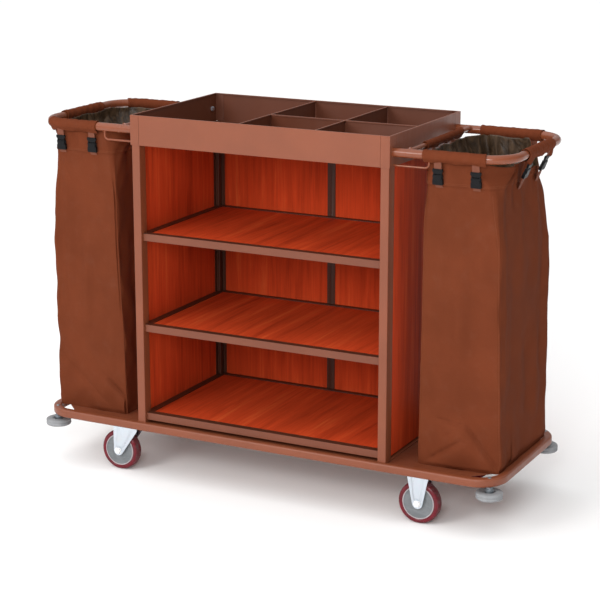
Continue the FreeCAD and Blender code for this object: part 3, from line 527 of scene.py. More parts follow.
def fastener_mesh(name, places, flats, height, finish, washer=0.0012):
    """Hexagon fasteners at places, each a point and the way that it stands."""
    source = bpy.data.meshes.new(name + "_places")
    source.from_pydata([tuple(p) for p, _way in places], [], [])
    turns = source.attributes.new("turn", "FLOAT_VECTOR", "POINT")
    for item, (_p, way) in zip(turns.data, places):
        item.vector = Vector((0, 0, 1)).rotation_difference(Vector(way)).to_euler()
    sizes = {
        "Corner radius": flats / math.sqrt(3.0),
        "Height": height,
        "Washer radius": flats * 0.62,
        "Washer height": washer,
    }
    return grown(name, source, fasteners, sizes, finish)


def joined_mesh(name, meshes):
    """Several meshes of the same finish as one."""
    build = bmesh.new()
    for mesh in meshes:
        build.from_mesh(mesh)
    whole = bpy.data.meshes.new(name)
    build.to_mesh(whole)
    build.free()
    whole.materials.append(meshes[0].materials[0])
    return whole


def plain_mesh(name, points, faces, material):
    mesh = bpy.data.meshes.new(name)
    mesh.from_pydata([tuple(p) for p in points], [], faces)
    mesh.materials.append(material)
    return mesh


eased_copy("swivel_plates", zinc, 0.0006)
PLATE_UNDER, WEB_OVER = 0.154, 0.159
BOLT_X, BOLT_Y = 0.0415, 0.024
heads, nuts = [], []
for side, trail in (("left", TRAIL), ("right", 0.0)):
    for end in ("front", "back"):
        low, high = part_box("tread_%s_%s" % (end, side))
        for bx in (-BOLT_X, BOLT_X):
            for by in (-BOLT_Y, BOLT_Y):
                x, y = (low.x + high.x) / 2 + trail + bx, (low.y + high.y) / 2 + by
                heads.append(((x, y, PLATE_UNDER), (0, 0, -1)))
                nuts.append(((x, y, WEB_OVER), (0, 0, 1)))
adopt("caster_bolts_piece", joined_mesh("caster_bolts_piece", [
    fastener_mesh("caster_bolt_heads", heads, FLATS_M8, HEIGHT_M8, zinc),
    fastener_mesh("caster_bolt_nuts", nuts, FLATS_M8, HEIGHT_M8, zinc),
]), "chassis", ["caster_bolts"])

# ---- axles and wheels ----------------------------------------------------------------------------
# An M10 bolt and lock nut clamp each fork round its wheel. The wheel is a grey moulded
# core with a cast polyurethane tyre, dark red and glossy, dulled where it runs on the floor.
TREAD_RED = (0.112, 0.0014, 0.008)
CORE_GREY = (0.150, 0.160, 0.168)
CORE_LIP_R = 0.0455


def polyurethane():
    """Glossy cast red rubber, scuffed and dusty on the running face (the UV's second value is the radius)."""
    f = Finish("dark red polyurethane", IOR=1.5, Specular_IOR_Level=0.28, Coat_IOR=1.5, Coat_Roughness=0.10)
    radius = f.uv(1)
    running = f.between(radius, 0.0590, 0.0618)
    where = f.place()
    scuffs = f.noise(where, 130.0, 5.0, 0.7)
    cloud = f.noise(where, 28.0, 3.0)
    shade = f.blend(f.between(cloud, 0.3, 0.7), tone(TREAD_RED, 0.85), tone(TREAD_RED, 1.2))
    shade = f.blend(running * f.between(scuffs, 0.42, 0.62), shade, (0.11, 0.055, 0.055))
    roughness = f.between(running + scuffs * 0.12, 0.0, 1.0, 0.22, 0.62)
    coat = 0.22 - running * 0.20
    return f.feed(Base_Color=shade, Roughness=roughness, Coat_Weight=coat, Normal=f.bump(scuffs, 0.00008, 0.5))


def moulded(name, colour, grain, gloss, speck, shine=0.4):
    """Moulded plastic or rubber with a spark-eroded grain and faint flow marks."""
    f = Finish(name, IOR=1.46, Specular_IOR_Level=shine)
    where = f.place()
    grainy = f.noise(where, grain, 2.0, 0.6)
    flow = f.noise(f.place((1.0, 1.0, 2.5)), 18.0, 4.0, 0.6, 1.2)
    shade = f.blend(f.between(flow, 0.35, 0.7), tone(colour, 0.88), tone(colour, 1.12))
    shade = f.blend(f.between(f.noise(where, 300.0, 3.0), 0.6, 0.75, 0.0, speck), shade, tone(colour, 1.9))
    return f.feed(Base_Color=shade, Roughness=f.between(flow, 0.3, 0.8, gloss - 0.05, gloss + 0.10),
                  Normal=f.bump(grainy, 0.00010, 0.7))


tread_red = polyurethane()
dull_zinc = zinc_plate("handled zinc plate", (0.06, 1.0, 1.0), 0.42, 0.16)
core_grey = moulded("grey moulded nylon", CORE_GREY, 700.0, 0.48, 0.15)
# The core's outer lip is paler than the core: a painted highlight along the rim's edge.
core_lip_painted_highlight = moulded("core lip with painted highlight", (0.38, 0.34, 0.35), 700.0, 0.40, 0.10)
tread_profile = [(0.0490, -0.0140), (0.0500, -0.0155), (0.0545, -0.0160), (0.0580, -0.0155), (0.0604, -0.0140),
                 (0.0618, -0.0110), (0.0624, -0.0060), (0.0625, -0.0008), (0.0627, 0.0)]
tread_profile += [(r, -h) for r, h in reversed(tread_profile[:-1])]
core_profile = [(0.0060, -0.0180), (0.0120, -0.0180), (0.0130, -0.0172), (0.0132, -0.0136), (0.0150, -0.0131),
                (0.0280, -0.0128), (0.0290, -0.0133), (0.0310, -0.0133), (0.0320, -0.0128), (0.0430, -0.0130),
                (0.0452, -0.0138), (0.0458, -0.0152), (0.0466, -0.0158), (0.0482, -0.0158), (0.0489, -0.0150)]
core_profile += [(r, -h) for r, h in reversed(core_profile)]
fixed_hexagons = []
for end in ("front", "back"):
    for side in ("left", "right"):
        wheel = "%s_%s" % (end, side)
        low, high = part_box("tread_" + wheel)
        centre = (low + high) / 2
        body = "wheel_" + wheel
        points, faces = lathed(tread_profile, centre, (0, 1, 0), 80)
        radii = [math.hypot(p[0] - centre.x, p[2] - centre.z) for p in points]
        turned = [i / len(points) for i in range(len(points))]
        tread = finish_piece("tread_%s_piece" % wheel, points, faces, tread_red, body, "tread",
                             ["tread_" + wheel], 50.0, list(zip(turned, radii)))
        outward(tread)
        points, faces = lathed(core_profile, centre, (0, 1, 0), 64)
        core = finish_piece("hub_%s_piece" % wheel, points, faces, [core_grey, core_lip_painted_highlight], body, "hub_plastic",
                            ["hub_" + wheel], 40.0)
        outward(core)
        # Faces out past the lip's radius take the paler grey of the painted highlight.
        for face in core.data.polygons:
            where = sum((core.data.vertices[v].co for v in face.vertices), Vector()) / len(face.vertices)
            if math.hypot(where.x - centre.x, where.z - centre.z) > CORE_LIP_R:
                face.material_index = 1
        out = LEG_GAP + LEG_SHEET
        hexes = [(centre + Vector((0, s * out, 0)), (0, s, 0)) for s in (-1, 1)]
        shank = lathed([(0.0001, -out - 0.0020), (0.0048, -out - 0.0020), (0.0048, out + 0.0085),
                        (0.0040, out + 0.0095), (0.0001, out + 0.0095)], centre, (0, 1, 0), 20)
        metal = [fastener_mesh("axle_hexagons_" + wheel, hexes, FLATS_M10, HEIGHT_M10, dull_zinc),
                 plain_mesh("axle_shank_" + wheel, *shank, dull_zinc)]
        if side == "left":
            name = "axle_%s_piece" % wheel
            adopt(name, joined_mesh(name, metal), "swivel_" + wheel, ["axle_" + wheel])
        else:
            fixed_hexagons += metal
adopt("rigid_axles_piece", joined_mesh("rigid_axles_piece", fixed_hexagons), "chassis", ["rigid_axles"])

# ---- corner bumpers ------------------------------------------------------------------------------
# A grey rubber disc turns freely on a bolt under each corner of the base tube. It is
# moulded in two halves, which leaves a line round its edge, and is hollowed for the spacer.
BUMPER_GREY = (0.235, 0.240, 0.250)
bumper_rubber = moulded("grey bumper rubber", BUMPER_GREY, 420.0, 0.62, 0.3)
bumper_profile = [(0.0053, -0.0103), (0.0300, -0.0103), (0.0360, -0.0095), (0.0380, -0.0078), (0.0385, -0.0050),
                  (0.0385, -0.0012), (0.0378, -0.0006), (0.0378, 0.0006), (0.0385, 0.0012), (0.0385, 0.0050),
                  (0.0380, 0.0078), (0.0360, 0.0095), (0.0300, 0.0103), (0.0180, 0.0103), (0.0170, 0.0095),
                  (0.0166, 0.0057), (0.0053, 0.0055)]
metal = []
for end in ("front", "back"):
    for side in ("left", "right"):
        node = "bumper_%s_%s" % (end, side)
        low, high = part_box(node)
        centre = (low + high) / 2
        points, faces = lathed(bumper_profile, centre, (0, 0, 1), 64)
        disc = finish_piece(node + "_piece", points, faces, bumper_rubber, "bumper_turn_%s_%s" % (end, side),
                            "bumper_rubber", [node], 50.0)
        outward(disc)
        at = Vector((centre.x, centre.y, 0.0))
        under_tube, under_disc = ((at.x, at.y, 0.1456), (0, 0, 1)), ((at.x, at.y, 0.1162), (0, 0, -1))
        spacer = [(0.0050, 0.1330), (0.0112, 0.1330), (0.0120, 0.1338), (0.0120, 0.1447), (0.0112, 0.1455),
                  (0.0050, 0.1455)]
        dome = [(0.0001, 0.1797), (0.0024, 0.1794), (0.0046, 0.1785), (0.0058, 0.1776), (0.0060, 0.1768),
                (0.0048, 0.1765), (0.0048, 0.1085), (0.0001, 0.1085)]
        for profile in (spacer, dome):
            metal.append(plain_mesh("bumper_metal", *lathed(profile, at, (0, 0, 1), 32), dull_zinc))
        metal.append(fastener_mesh("bumper_nuts_up", [under_tube], FLATS_M10, 0.0050, dull_zinc))
        metal.append(fastener_mesh("bumper_nuts_down", [under_disc], FLATS_M10, 0.0055, dull_zinc))
bolts = joined_mesh("bumper_bolts_piece", metal)
outward(adopt("bumper_bolts_piece", bolts, "chassis", ["bumper_bolts"]))

# ---- cabinet posts -------------------------------------------------------------------------------
# Four rolled steel posts stand on the sills; folded lips along them hold the panels' edges.
# Inside the cabinet the lips and the strip between the back panels are a darker brown, as painted shade.
POST_OUT_Y = 0.2505
# A darker copy of the brown coat, which stands for painted shade inside the cabinet.
cabinet_painted_shade = powder_coat("brown powder coat with painted shade in the cabinet", tone(BROWN, 0.34), 0.48)


def inside_cabinet(at, normal):
    """Whether a back post's face looks into the cabinet."""
    return normal.z < 0.7 and abs(at.y) < POST_OUT_Y and (normal.x * at.x < -0.2 or normal.y < -0.5)


for side in ("left", "right"):
    eased_copy("post_front_" + side, brown_coat, 0.0010)
    eased_copy("post_back_" + side, brown_coat, 0.0010, cabinet_painted_shade, inside_cabinet)
eased_copy("back_strip", brown_coat, 0.0006, cabinet_painted_shade, lambda at, normal: normal.y < 0.5)

# ---- laminate panels and shelf boards ------------------------------------------------------------
# The sides, the back and the shelves are boards faced with cherry-red laminate. Its printed
# grain runs up the panels and from front to back on the shelves, under a satin lacquer.
CHERRY_DARK = (0.300, 0.0260, 0.0085)
CHERRY = (0.600, 0.0620, 0.0170)
CHERRY_PALE = (0.710, 0.1350, 0.0360)


def cherry_laminate(name, across, shift, warmth=1.0):
    """Streaky cherry: bands, narrow streaks and fine pores, drawn out along the axis where across is 0."""
    f = Finish(name, IOR=1.40, Specular_IOR_Level=0.02)
    drawn = tuple(1.0 if a else 0.045 for a in across)
    where = f.place(drawn, shift=shift)
    bands = f.noise(where, 16.0, 3.0, 0.55, 1.4)
    streaks = f.noise(where, 95.0, 6.0, 0.68, 0.4)
    fine = f.noise(f.place(tuple(1.0 if a else 0.012 for a in across), shift=shift), 620.0, 3.0, 0.6)
    grain = bands * 0.55 + streaks * 0.45
    stops = [(0.30, tone(CHERRY_DARK, warmth)), (0.46, tone(CHERRY, 0.85 * warmth)),
             (0.56, tone(CHERRY, warmth)), (0.74, tone(CHERRY_PALE, warmth))]
    shade = f.node("ShaderNodeValToRGB", {"stops": stops}, grain)
    pores = f.between(fine, 0.52, 0.72)
    shade = f.blend(pores * 0.45, shade, CHERRY_DARK)
    roughness = f.between(fine, 0.2, 0.8, 0.34, 0.50)
    return f.feed(Base_Color=shade, Roughness=roughness, Normal=f.bump(fine * -1.0, 0.00008, 0.5))


for number, node in enumerate(("side_panel_left", "side_panel_right", "back_panel_left", "back_panel_right")):
    board = cherry_laminate("cherry laminate " + node, (1, 1, 0), (0.31 * number + 0.1, 0.17 * number, 0.0))
    eased_copy(node, board, 0.0005)
FRONT_RAIL = 0.024
shelf_coat = powder_coat("brown powder coat on the shelves", tone(BROWN, 0.76), 0.44)
for number, level in enumerate(("top", "middle", "bottom")):
    shift = (0.43 * number, 0.2, 0.13 * number)
    board = cherry_laminate("cherry laminate shelf " + level, (1, 0, 1), shift, 0.95)
    rail_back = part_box("shelf_frame_" + level)[0].y + FRONT_RAIL
    # Every member of a shelf frame but its front rail takes the darker coat as painted shade.
    eased_copy("shelf_frame_" + level, shelf_coat, 0.0009, cabinet_painted_shade,
               lambda at, normal: at.y > rail_back or normal.y > 0.5)
    eased_copy("shelf_board_" + level, board, 0.0006)

# ---- tray ----------------------------------------------------------------------------------------
# The top tray is folded from steel sheet: four walls with a hem turned in along the top, an
# angle over each corner, a floor, and three dividers slotted into each other. Inside it the
# coat is darker than on the hems and the outside, as painted shade.
# A darker copy of the brown coat, which stands for painted shade inside the tray.
tray_painted_shade = powder_coat("brown powder coat with painted shade in the tray", tone(BROWN, 0.55), 0.50)
for wall in ("tray_front", "tray_back", "tray_left", "tray_right", "tray_corners"):
    eased_copy(wall, brown_coat, 0.0010, tray_painted_shade,
               lambda at, normal: normal.z < 0.7 and normal.x * at.x + normal.y * at.y < -0.05)
eased_copy("tray_floor", tray_painted_shade, 0.0005)
for wall in ("tray_divider_left", "tray_divider_right", "tray_divider_cross"):
    eased_copy(wall, brown_coat, 0.0007, tray_painted_shade, lambda at, normal: normal.z < 0.7)

# ---- bag hoops -----------------------------------------------------------------------------------
# At each end a round steel tube is bent into a U and bolted to the tray's corners. A thin bar
# is welded across it next to the tray, and a bent wire under each arm steadies it.
hoop_low, hoop_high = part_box("hoop_right")
HOOP_R = 0.0125
HOOP_BEND = 0.090
HOOP_HEAD = 0.0045
hoop_z = (hoop_low.z + hoop_high.z) / 2
arm_y = hoop_high.y - HOOP_R
end_x = 0.7495
near_x = hoop_low.x
bar_x, bar_r, bar_z = 0.4585, 0.0070, hoop_z + 0.0055
gloss_coat = powder_coat("glossy brown powder coat", tone(BROWN, 1.02), 0.21)


def hoop_route(sx, steps=22):
    """The hoop's centre line from its front end to its back end, with the outward direction."""
    found = [(Vector((near_x, -arm_y)), Vector((0, -1)))]
    for y in (-1, 1):
        middle = Vector((end_x - HOOP_BEND, y * (arm_y - HOOP_BEND)))
        for step in range(steps + 1):
            angle = math.radians((-90.0 if y < 0 else 0.0) + 90.0 * step / steps)
            out = Vector((math.cos(angle), math.sin(angle)))
            found.append((middle + out * HOOP_BEND, out))
    found.append((Vector((near_x, arm_y)), Vector((0, 1))))
    return [(Vector((sx * p.x, p.y)), Vector((sx * o.x, o.y))) for p, o in found]


def capped(faces, sides, count):
    """The faces of a tube of count points, with its two ends closed."""
    return faces + [tuple(range(sides)), tuple(reversed(range(count - sides, count)))]


def tube_points(route, z, radius, sides):
    """A round tube along a level route, closed at both ends."""
    turns = [2 * math.pi * s / sides for s in range(sides)]
    ring = [(radius * math.cos(a), radius * math.sin(a)) for a in turns]
    points = [(*(centre + out * u), z + v) for centre, out in route for u, v in ring]
    return points, capped(grid_faces(len(route), sides, False, True), sides, len(points))


def wire_points(line, radius, sides, side_way):
    """A round wire along points that lie in one plane, whose normal is side_way."""
    points = []
    for index, here in enumerate(line):
        before, after = line[max(index - 1, 0)], line[min(index + 1, len(line) - 1)]
        along = (after - before).normalized()
        other = along.cross(side_way).normalized()
        for s in range(sides):
            a = 2.0 * math.pi * s / sides
            points.append(here + side_way * (radius * math.cos(a)) + other * (radius * math.sin(a)))
    return points, capped(grid_faces(len(line), sides, False, True), sides, len(points))


BRACE_Z, BRACE_X, BRACE_BEND, BRACE_R = 1.032, 0.520, 0.012, 0.003
bars, wires = [], []
for side, sx in (("left", -1), ("right", 1)):
    tube = tube_points(hoop_route(sx), hoop_z, HOOP_R, 32)
    outward(finish_piece("hoop_%s_piece" % side, *tube, gloss_coat, "chassis", "powder_coat", ["hoop_" + side]))
    reach = arm_y - 0.0105
    line = [Vector((sx * bar_x, y, bar_z)) for y in (-reach, reach)]
    bars.append(wire_points(line, bar_r, 24, Vector((1, 0, 0))))
    for sy in (-1, 1):
        bead = [(0.0066, -0.0022), (0.0086, -0.0016), (0.0094, 0.0), (0.0084, 0.0020), (0.0066, 0.0030)]
        at = Vector((sx * bar_x, sy * (reach - 0.0015), bar_z))
        bars.append(lathed(bead, at, (0, -sy, 0), 24))
        line = [Vector((sx * near_x, sy * arm_y, BRACE_Z))]
        for step in range(9):
            a = math.radians(90.0 * step / 8)
            x = BRACE_X - BRACE_BEND + BRACE_BEND * math.sin(a)
            z = BRACE_Z + BRACE_BEND - BRACE_BEND * math.cos(a)
            line.append(Vector((sx * x, sy * arm_y, z)))
        line.append(Vector((sx * BRACE_X, sy * arm_y, hoop_z - HOOP_R + 0.001)))
        wires.append(wire_points(line, BRACE_R, 14, Vector((0, 1, 0))))
        bead = [(0.0028, -0.002), (0.0042, -0.0014), (0.0050, 0.0), (0.0040, 0.0014), (0.0028, 0.0018)]
        at = Vector((sx * BRACE_X, sy * arm_y, hoop_z - HOOP_R - 0.0004))
        wires.append(lathed(bead, at, (0, 0, 1), 16))
for node, parts in (("hoop_crossbars", bars), ("hoop_braces", wires)):
    outward(finish_piece(node + "_piece", *merged(parts), gloss_coat, "chassis", "powder_coat", [node]))
hexes = [((sx * (near_x - 0.002), sy * arm_y, hoop_z), (-sx, 0, 0)) for sx in (-1, 1) for sy in (-1, 1)]
bolts = fastener_mesh("hoop_bolts_piece", hexes, FLATS_M8, HOOP_HEAD, zinc)
adopt("hoop_bolts_piece", bolts, "chassis", ["hoop_bolts"])

# ---- bags ----------------------------------------------------------------------------------------
# Each bag is sewn from brown woven polyester with a dark coated lining: a seamed box that
# stands on the base sheet and is hung by eight buckled straps, so its mouth is pulled into
# an eight-sided shape, its corners hang in, and its walls keep the creases of its folding.
BAG_X = 0.612
CLOTH_BROWN = (0.136, 0.0335, 0.0140)
LINING = (0.042, 0.023, 0.011)
deck_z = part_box("base_deck")[1].z
HEM_Z = 0.985
STRAP_X = (-0.067, 0.043)
STRAP_Y = (-0.058, 0.080)


def woven(name, colour, gloss, thread, depth, dust=0.0):
    """Plain-woven cloth on its own UV, in metres: over-and-under threads, slubs, fading and a little dust."""
    f = Finish(name, IOR=1.40, Specular_IOR_Level=0.03)
    across = f.uv(0)
    up = f.uv(1)
    turns = 2.0 * math.pi / thread
    warp = (across * turns).math("SINE")
    weft = (up * turns).math("SINE")
    weave = warp * weft
    ribs = warp.math("ABSOLUTE") * 0.4 + weave * 0.6
    where = f.place()
    slub = f.noise(f.place((1.0, 60.0, 1.0), source="UV"), 40.0, 2.0)
    fade = f.noise(where, 7.0, 4.0, 0.6)
    blotch = f.noise(where, 30.0, 4.0, 0.6)
    shade = f.blend(f.between(fade, 0.32, 0.72), tone(colour, 0.92), tone(colour, 1.08))
    shade = f.blend(f.between(slub, 0.5, 0.75, 0.0, 0.25), shade, tone(colour, 1.25))
    shade = f.blend(f.between(weave, -0.9, 0.2, 0.30, 0.0), shade, tone(colour, 0.45))
    shade = f.blend(f.between(blotch, 0.5, 0.8, 0.0, dust), shade, (0.30, 0.20, 0.15))
    roughness = f.between(fade + weave * 0.08, 0.2, 0.9, gloss - 0.06, gloss + 0.08)
    return f.feed(Base_Color=shade, Roughness=roughness, Normal=f.bump(ribs + slub * 0.5, depth, 0.8))


def coated_lining():
    """The inside: a dark olive-brown coating in wrinkles, lighter on their crests and darker in their hollows
    as painted highlight and painted shade.
    """
    f = Finish("coated lining", IOR=1.5, Specular_IOR_Level=0.35)
    where = f.place((1.0, 1.0, 0.45))
    wrinkle = f.noise(where, 34.0, 4.0, 0.6, 1.6)
    # The colour follows the wrinkle noise that drives the bump: painted highlight on the crests, painted shade
    # in the hollows.
    shade = f.blend(f.between(wrinkle, 0.35, 0.7), tone(LINING, 0.55), tone(LINING, 1.9))
    return f.feed(Base_Color=shade, Roughness=f.between(wrinkle, 0.3, 0.7, 0.30, 0.55),
                  Normal=f.bump(wrinkle, 0.006, 0.6))


bag_cloth = woven("brown woven polyester", CLOTH_BROWN, 0.72, 0.0011, 0.00016, 0.03)
bag_lining = coated_lining()
thread_tan = woven("brown sewing thread", (0.20, 0.065, 0.032), 0.6, 0.0006, 0.00005)


def level_value(z, stops):
    """A size that changes smoothly with height, through (height, size) stops."""
    heights, sizes = zip(*stops)
    z = np.clip(z, heights[0], heights[-1])
    found = np.zeros_like(z)
    for (z0, s0), (z1, s1) in zip(stops, stops[1:]):
        here = (z >= z0) & (z <= z1)
        found = np.where(here, s0 + (s1 - s0) * smooth_step(z0, z1, z), found)
    return found


OUT_WALL = [(0.172, 0.1165), (0.205, 0.1225), (0.320, 0.120), (0.780, 0.113), (0.975, 0.101), (1.060, 0.105)]
IN_WALL = [(0.172, -0.126), (0.300, -0.122), (0.780, -0.114), (0.985, -0.112), (1.060, -0.136)]
FACE_WALL = [(0.172, 0.193), (0.300, 0.195), (0.780, 0.205), (0.985, 0.210), (1.060, 0.211)]
# How far each corner is cut back along X and along Y, by height.
CORNERS = {
    "front_out": ([(0.172, 0.007), (0.760, 0.006), (0.985, 0.022), (1.030, 0.058)],
                  [(0.172, 0.008), (0.760, 0.007), (0.985, 0.034), (1.030, 0.100)]),
    "back_out": ([(0.172, 0.005), (0.235, 0.022), (0.700, 0.024), (0.970, 0.066), (1.030, 0.072)],
                 [(0.172, 0.006), (0.235, 0.024), (0.700, 0.032), (0.970, 0.120), (1.030, 0.128)]),
    "back_in": ([(0.172, 0.012), (0.800, 0.012), (0.985, 0.026), (1.050, 0.034)],
                [(0.172, 0.014), (0.800, 0.014), (0.985, 0.040), (1.050, 0.052)]),
    "front_in": ([(0.172, 0.006), (0.860, 0.006), (0.985, 0.020), (1.050, 0.050)],
                 [(0.172, 0.007), (0.860, 0.007), (0.985, 0.030), (1.050, 0.100)]),
}


def section_rows(sx, z, counts):
    """The bag's outline at heights z: how far out and along each point is, and the columns' wall numbers."""
    out, inn, face = (level_value(z, s) for s in (OUT_WALL, IN_WALL, FACE_WALL))
    cut = {name: [level_value(z, s) for s in pair] for name, pair in CORNERS.items()}
    flat = 0.45 * smooth_step(0.90, 1.02, z)
    if sx < 0:
        flared = smooth_step(0.985, 1.045, z)
        out, face, flat = out + 0.017 * flared, face + 0.001 * flared, flat * (1.0 - 0.8 * flared)
        for name in ("front_out", "back_out"):
            cut[name] = [size + (goal - size) * flared for size, goal in zip(cut[name], (0.062, 0.070))]
    xs, ys, kinds = [], [], []

    def run(p, q, count, kind):
        for t in np.linspace(0.0, 1.0, count, endpoint=False):
            xs.append(p[0] + (q[0] - p[0]) * t)
            ys.append(p[1] + (q[1] - p[1]) * t)
            kinds.append(kind)

    def turn(p, corner, q, count, kind):
        for step in range(count):
            a = 0.5 * math.pi * step / count
            ex = corner[0] + (p[0] - corner[0]) * (1 - math.sin(a)) + (q[0] - corner[0]) * (1 - math.cos(a))
            ey = corner[1] + (p[1] - corner[1]) * (1 - math.sin(a)) + (q[1] - corner[1]) * (1 - math.cos(a))
            t = step / count
            cx, cy = p[0] + (q[0] - p[0]) * t, p[1] + (q[1] - p[1]) * t
            xs.append(ex * (1 - flat) + cx * flat)
            ys.append(ey * (1 - flat) + cy * flat)
            kinds.append(kind + t)

    fi, fo, bo, bi = (cut[n] for n in ("front_in", "front_out", "back_out", "back_in"))
    run((inn + fi[0], -face), (out - fo[0], -face), counts[0], 0)
    turn((out - fo[0], -face), (out, -face), (out, fo[1] - face), counts[1], 0)
    run((out, fo[1] - face), (out, face - bo[1]), counts[2], 1)
    turn((out, face - bo[1]), (out, face), (out - bo[0], face), counts[1], 1)
    run((out - bo[0], face), (inn + bi[0], face), counts[0], 2)
    turn((inn + bi[0], face), (inn, face), (inn, face - bi[1]), counts[1], 2)
    run((inn, face - bi[1]), (inn, fi[1] - face), counts[2], 3)
    turn((inn, fi[1] - face), (inn, -face), (inn + fi[0], -face), counts[1], 3)
    return np.array(xs).T, np.array(ys).T, np.array(kinds, float)


def crease(along, z, start, end, depth, width, tilt=1.0):
    """A fold pressed in along a line: a sharp valley, with the cloth below it swung out and dying away."""
    way = np.array(end) - np.array(start)
    length = np.hypot(*way)
    way = way / length
    run = (along - start[0]) * way[0] + (z - start[1]) * way[1]
    off = (along - start[0]) * -way[1] + (z - start[1]) * way[0]
    inside = smooth_step(-0.010, 0.010, run) * (1.0 - smooth_step(length - 0.010, length + 0.010, run))
    wide = smooth_step(-0.05, 0.02, run) * (1.0 - smooth_step(length - 0.02, length + 0.05, run))
    valley = -0.55 * np.exp(-np.abs(off) / width) * inside
    below = np.maximum(-off, 0.0)
    swung = tilt * (1.0 - np.exp(-below / 0.016)) * np.exp(-below / 0.060) * wide
    return depth * (valley + 1.6 * swung)


def soft_fold(along, z, at, width, depth, low, high, lean=0.0):
    """A long soft upright fold."""
    line = (along - at - lean * (z - low)) / width
    ends = smooth_step(low, low + 0.10, z) * (1.0 - smooth_step(high - 0.10, high, z))
    return depth * np.exp(-line ** 2) * ends


FRONT_CREASES = {
    1: [((-0.087, 0.193), (0.004, 0.259), 0.0110, 0.0034), ((0.004, 0.259), (0.030, 0.260), 0.0054, 0.0028),
        ((-0.065, 0.315), (0.012, 0.306), 0.0060, 0.0032), ((0.020, 0.306), (0.108, 0.188), 0.0110, 0.0036),
        ((-0.042, 0.263), (-0.013, 0.289), 0.0032, 0.0030), ((-0.070, 0.955), (-0.035, 0.915), 0.0044, 0.0040)],
    -1: [((0.061, 0.277), (0.155, 0.197), 0.0110, 0.0036), ((-0.100, 0.330), (-0.020, 0.262), 0.0048, 0.0034),
         ((-0.020, 0.262), (0.055, 0.205), 0.0040, 0.0034), ((-0.060, 0.930), (-0.020, 0.885), 0.0040, 0.0040)],
}
OUTER_FOLDS = [(-0.158, 0.016, 0.0050), (-0.105, 0.026, -0.0060), (-0.040, 0.018, 0.0052),
               (0.020, 0.034, -0.0062), (0.088, 0.017, 0.0070), (0.126, 0.016, -0.0064), (0.165, 0.016, 0.0050)]


def mouth_height(sx, kind, along):
    """How high the mouth's edge stands round the bag: high at the front, back and cabinet side, low outside."""
    levels = np.array([1.058, 1.040 if sx > 0 else 1.062, 1.060, 1.062])
    face = np.floor(kind).astype(int)
    part = kind - face
    here = levels[face] + (levels[(face + 1) % 4] - levels[face]) * smooth_step(0.0, 1.0, part)
    fallen = 0.034 if sx > 0 else 0.0
    slack = np.where(face == 1, fallen * smooth_step(-0.010, 0.050, along), 0.0)
    here -= slack * (1.0 - smooth_step(0.2, 0.9, part))
    places = np.where(face % 2 == 0, 1.0, 0.0)
    near_x = np.minimum(np.abs(along - STRAP_X[0]), np.abs(along - STRAP_X[1]))
    near_y = np.minimum(np.abs(along - STRAP_Y[0]), np.abs(along - STRAP_Y[1]))
    near = np.where(places > 0, near_x, near_y)
    dips = np.array([0.003, 0.012 if sx > 0 else 0.0, 0.0, 0.002])
    corner_dip = dips[face] * np.sin(math.pi * np.clip(part, 0.0, 1.0))
    return here - 0.004 * smooth_step(0.012, 0.050, near) - corner_dip


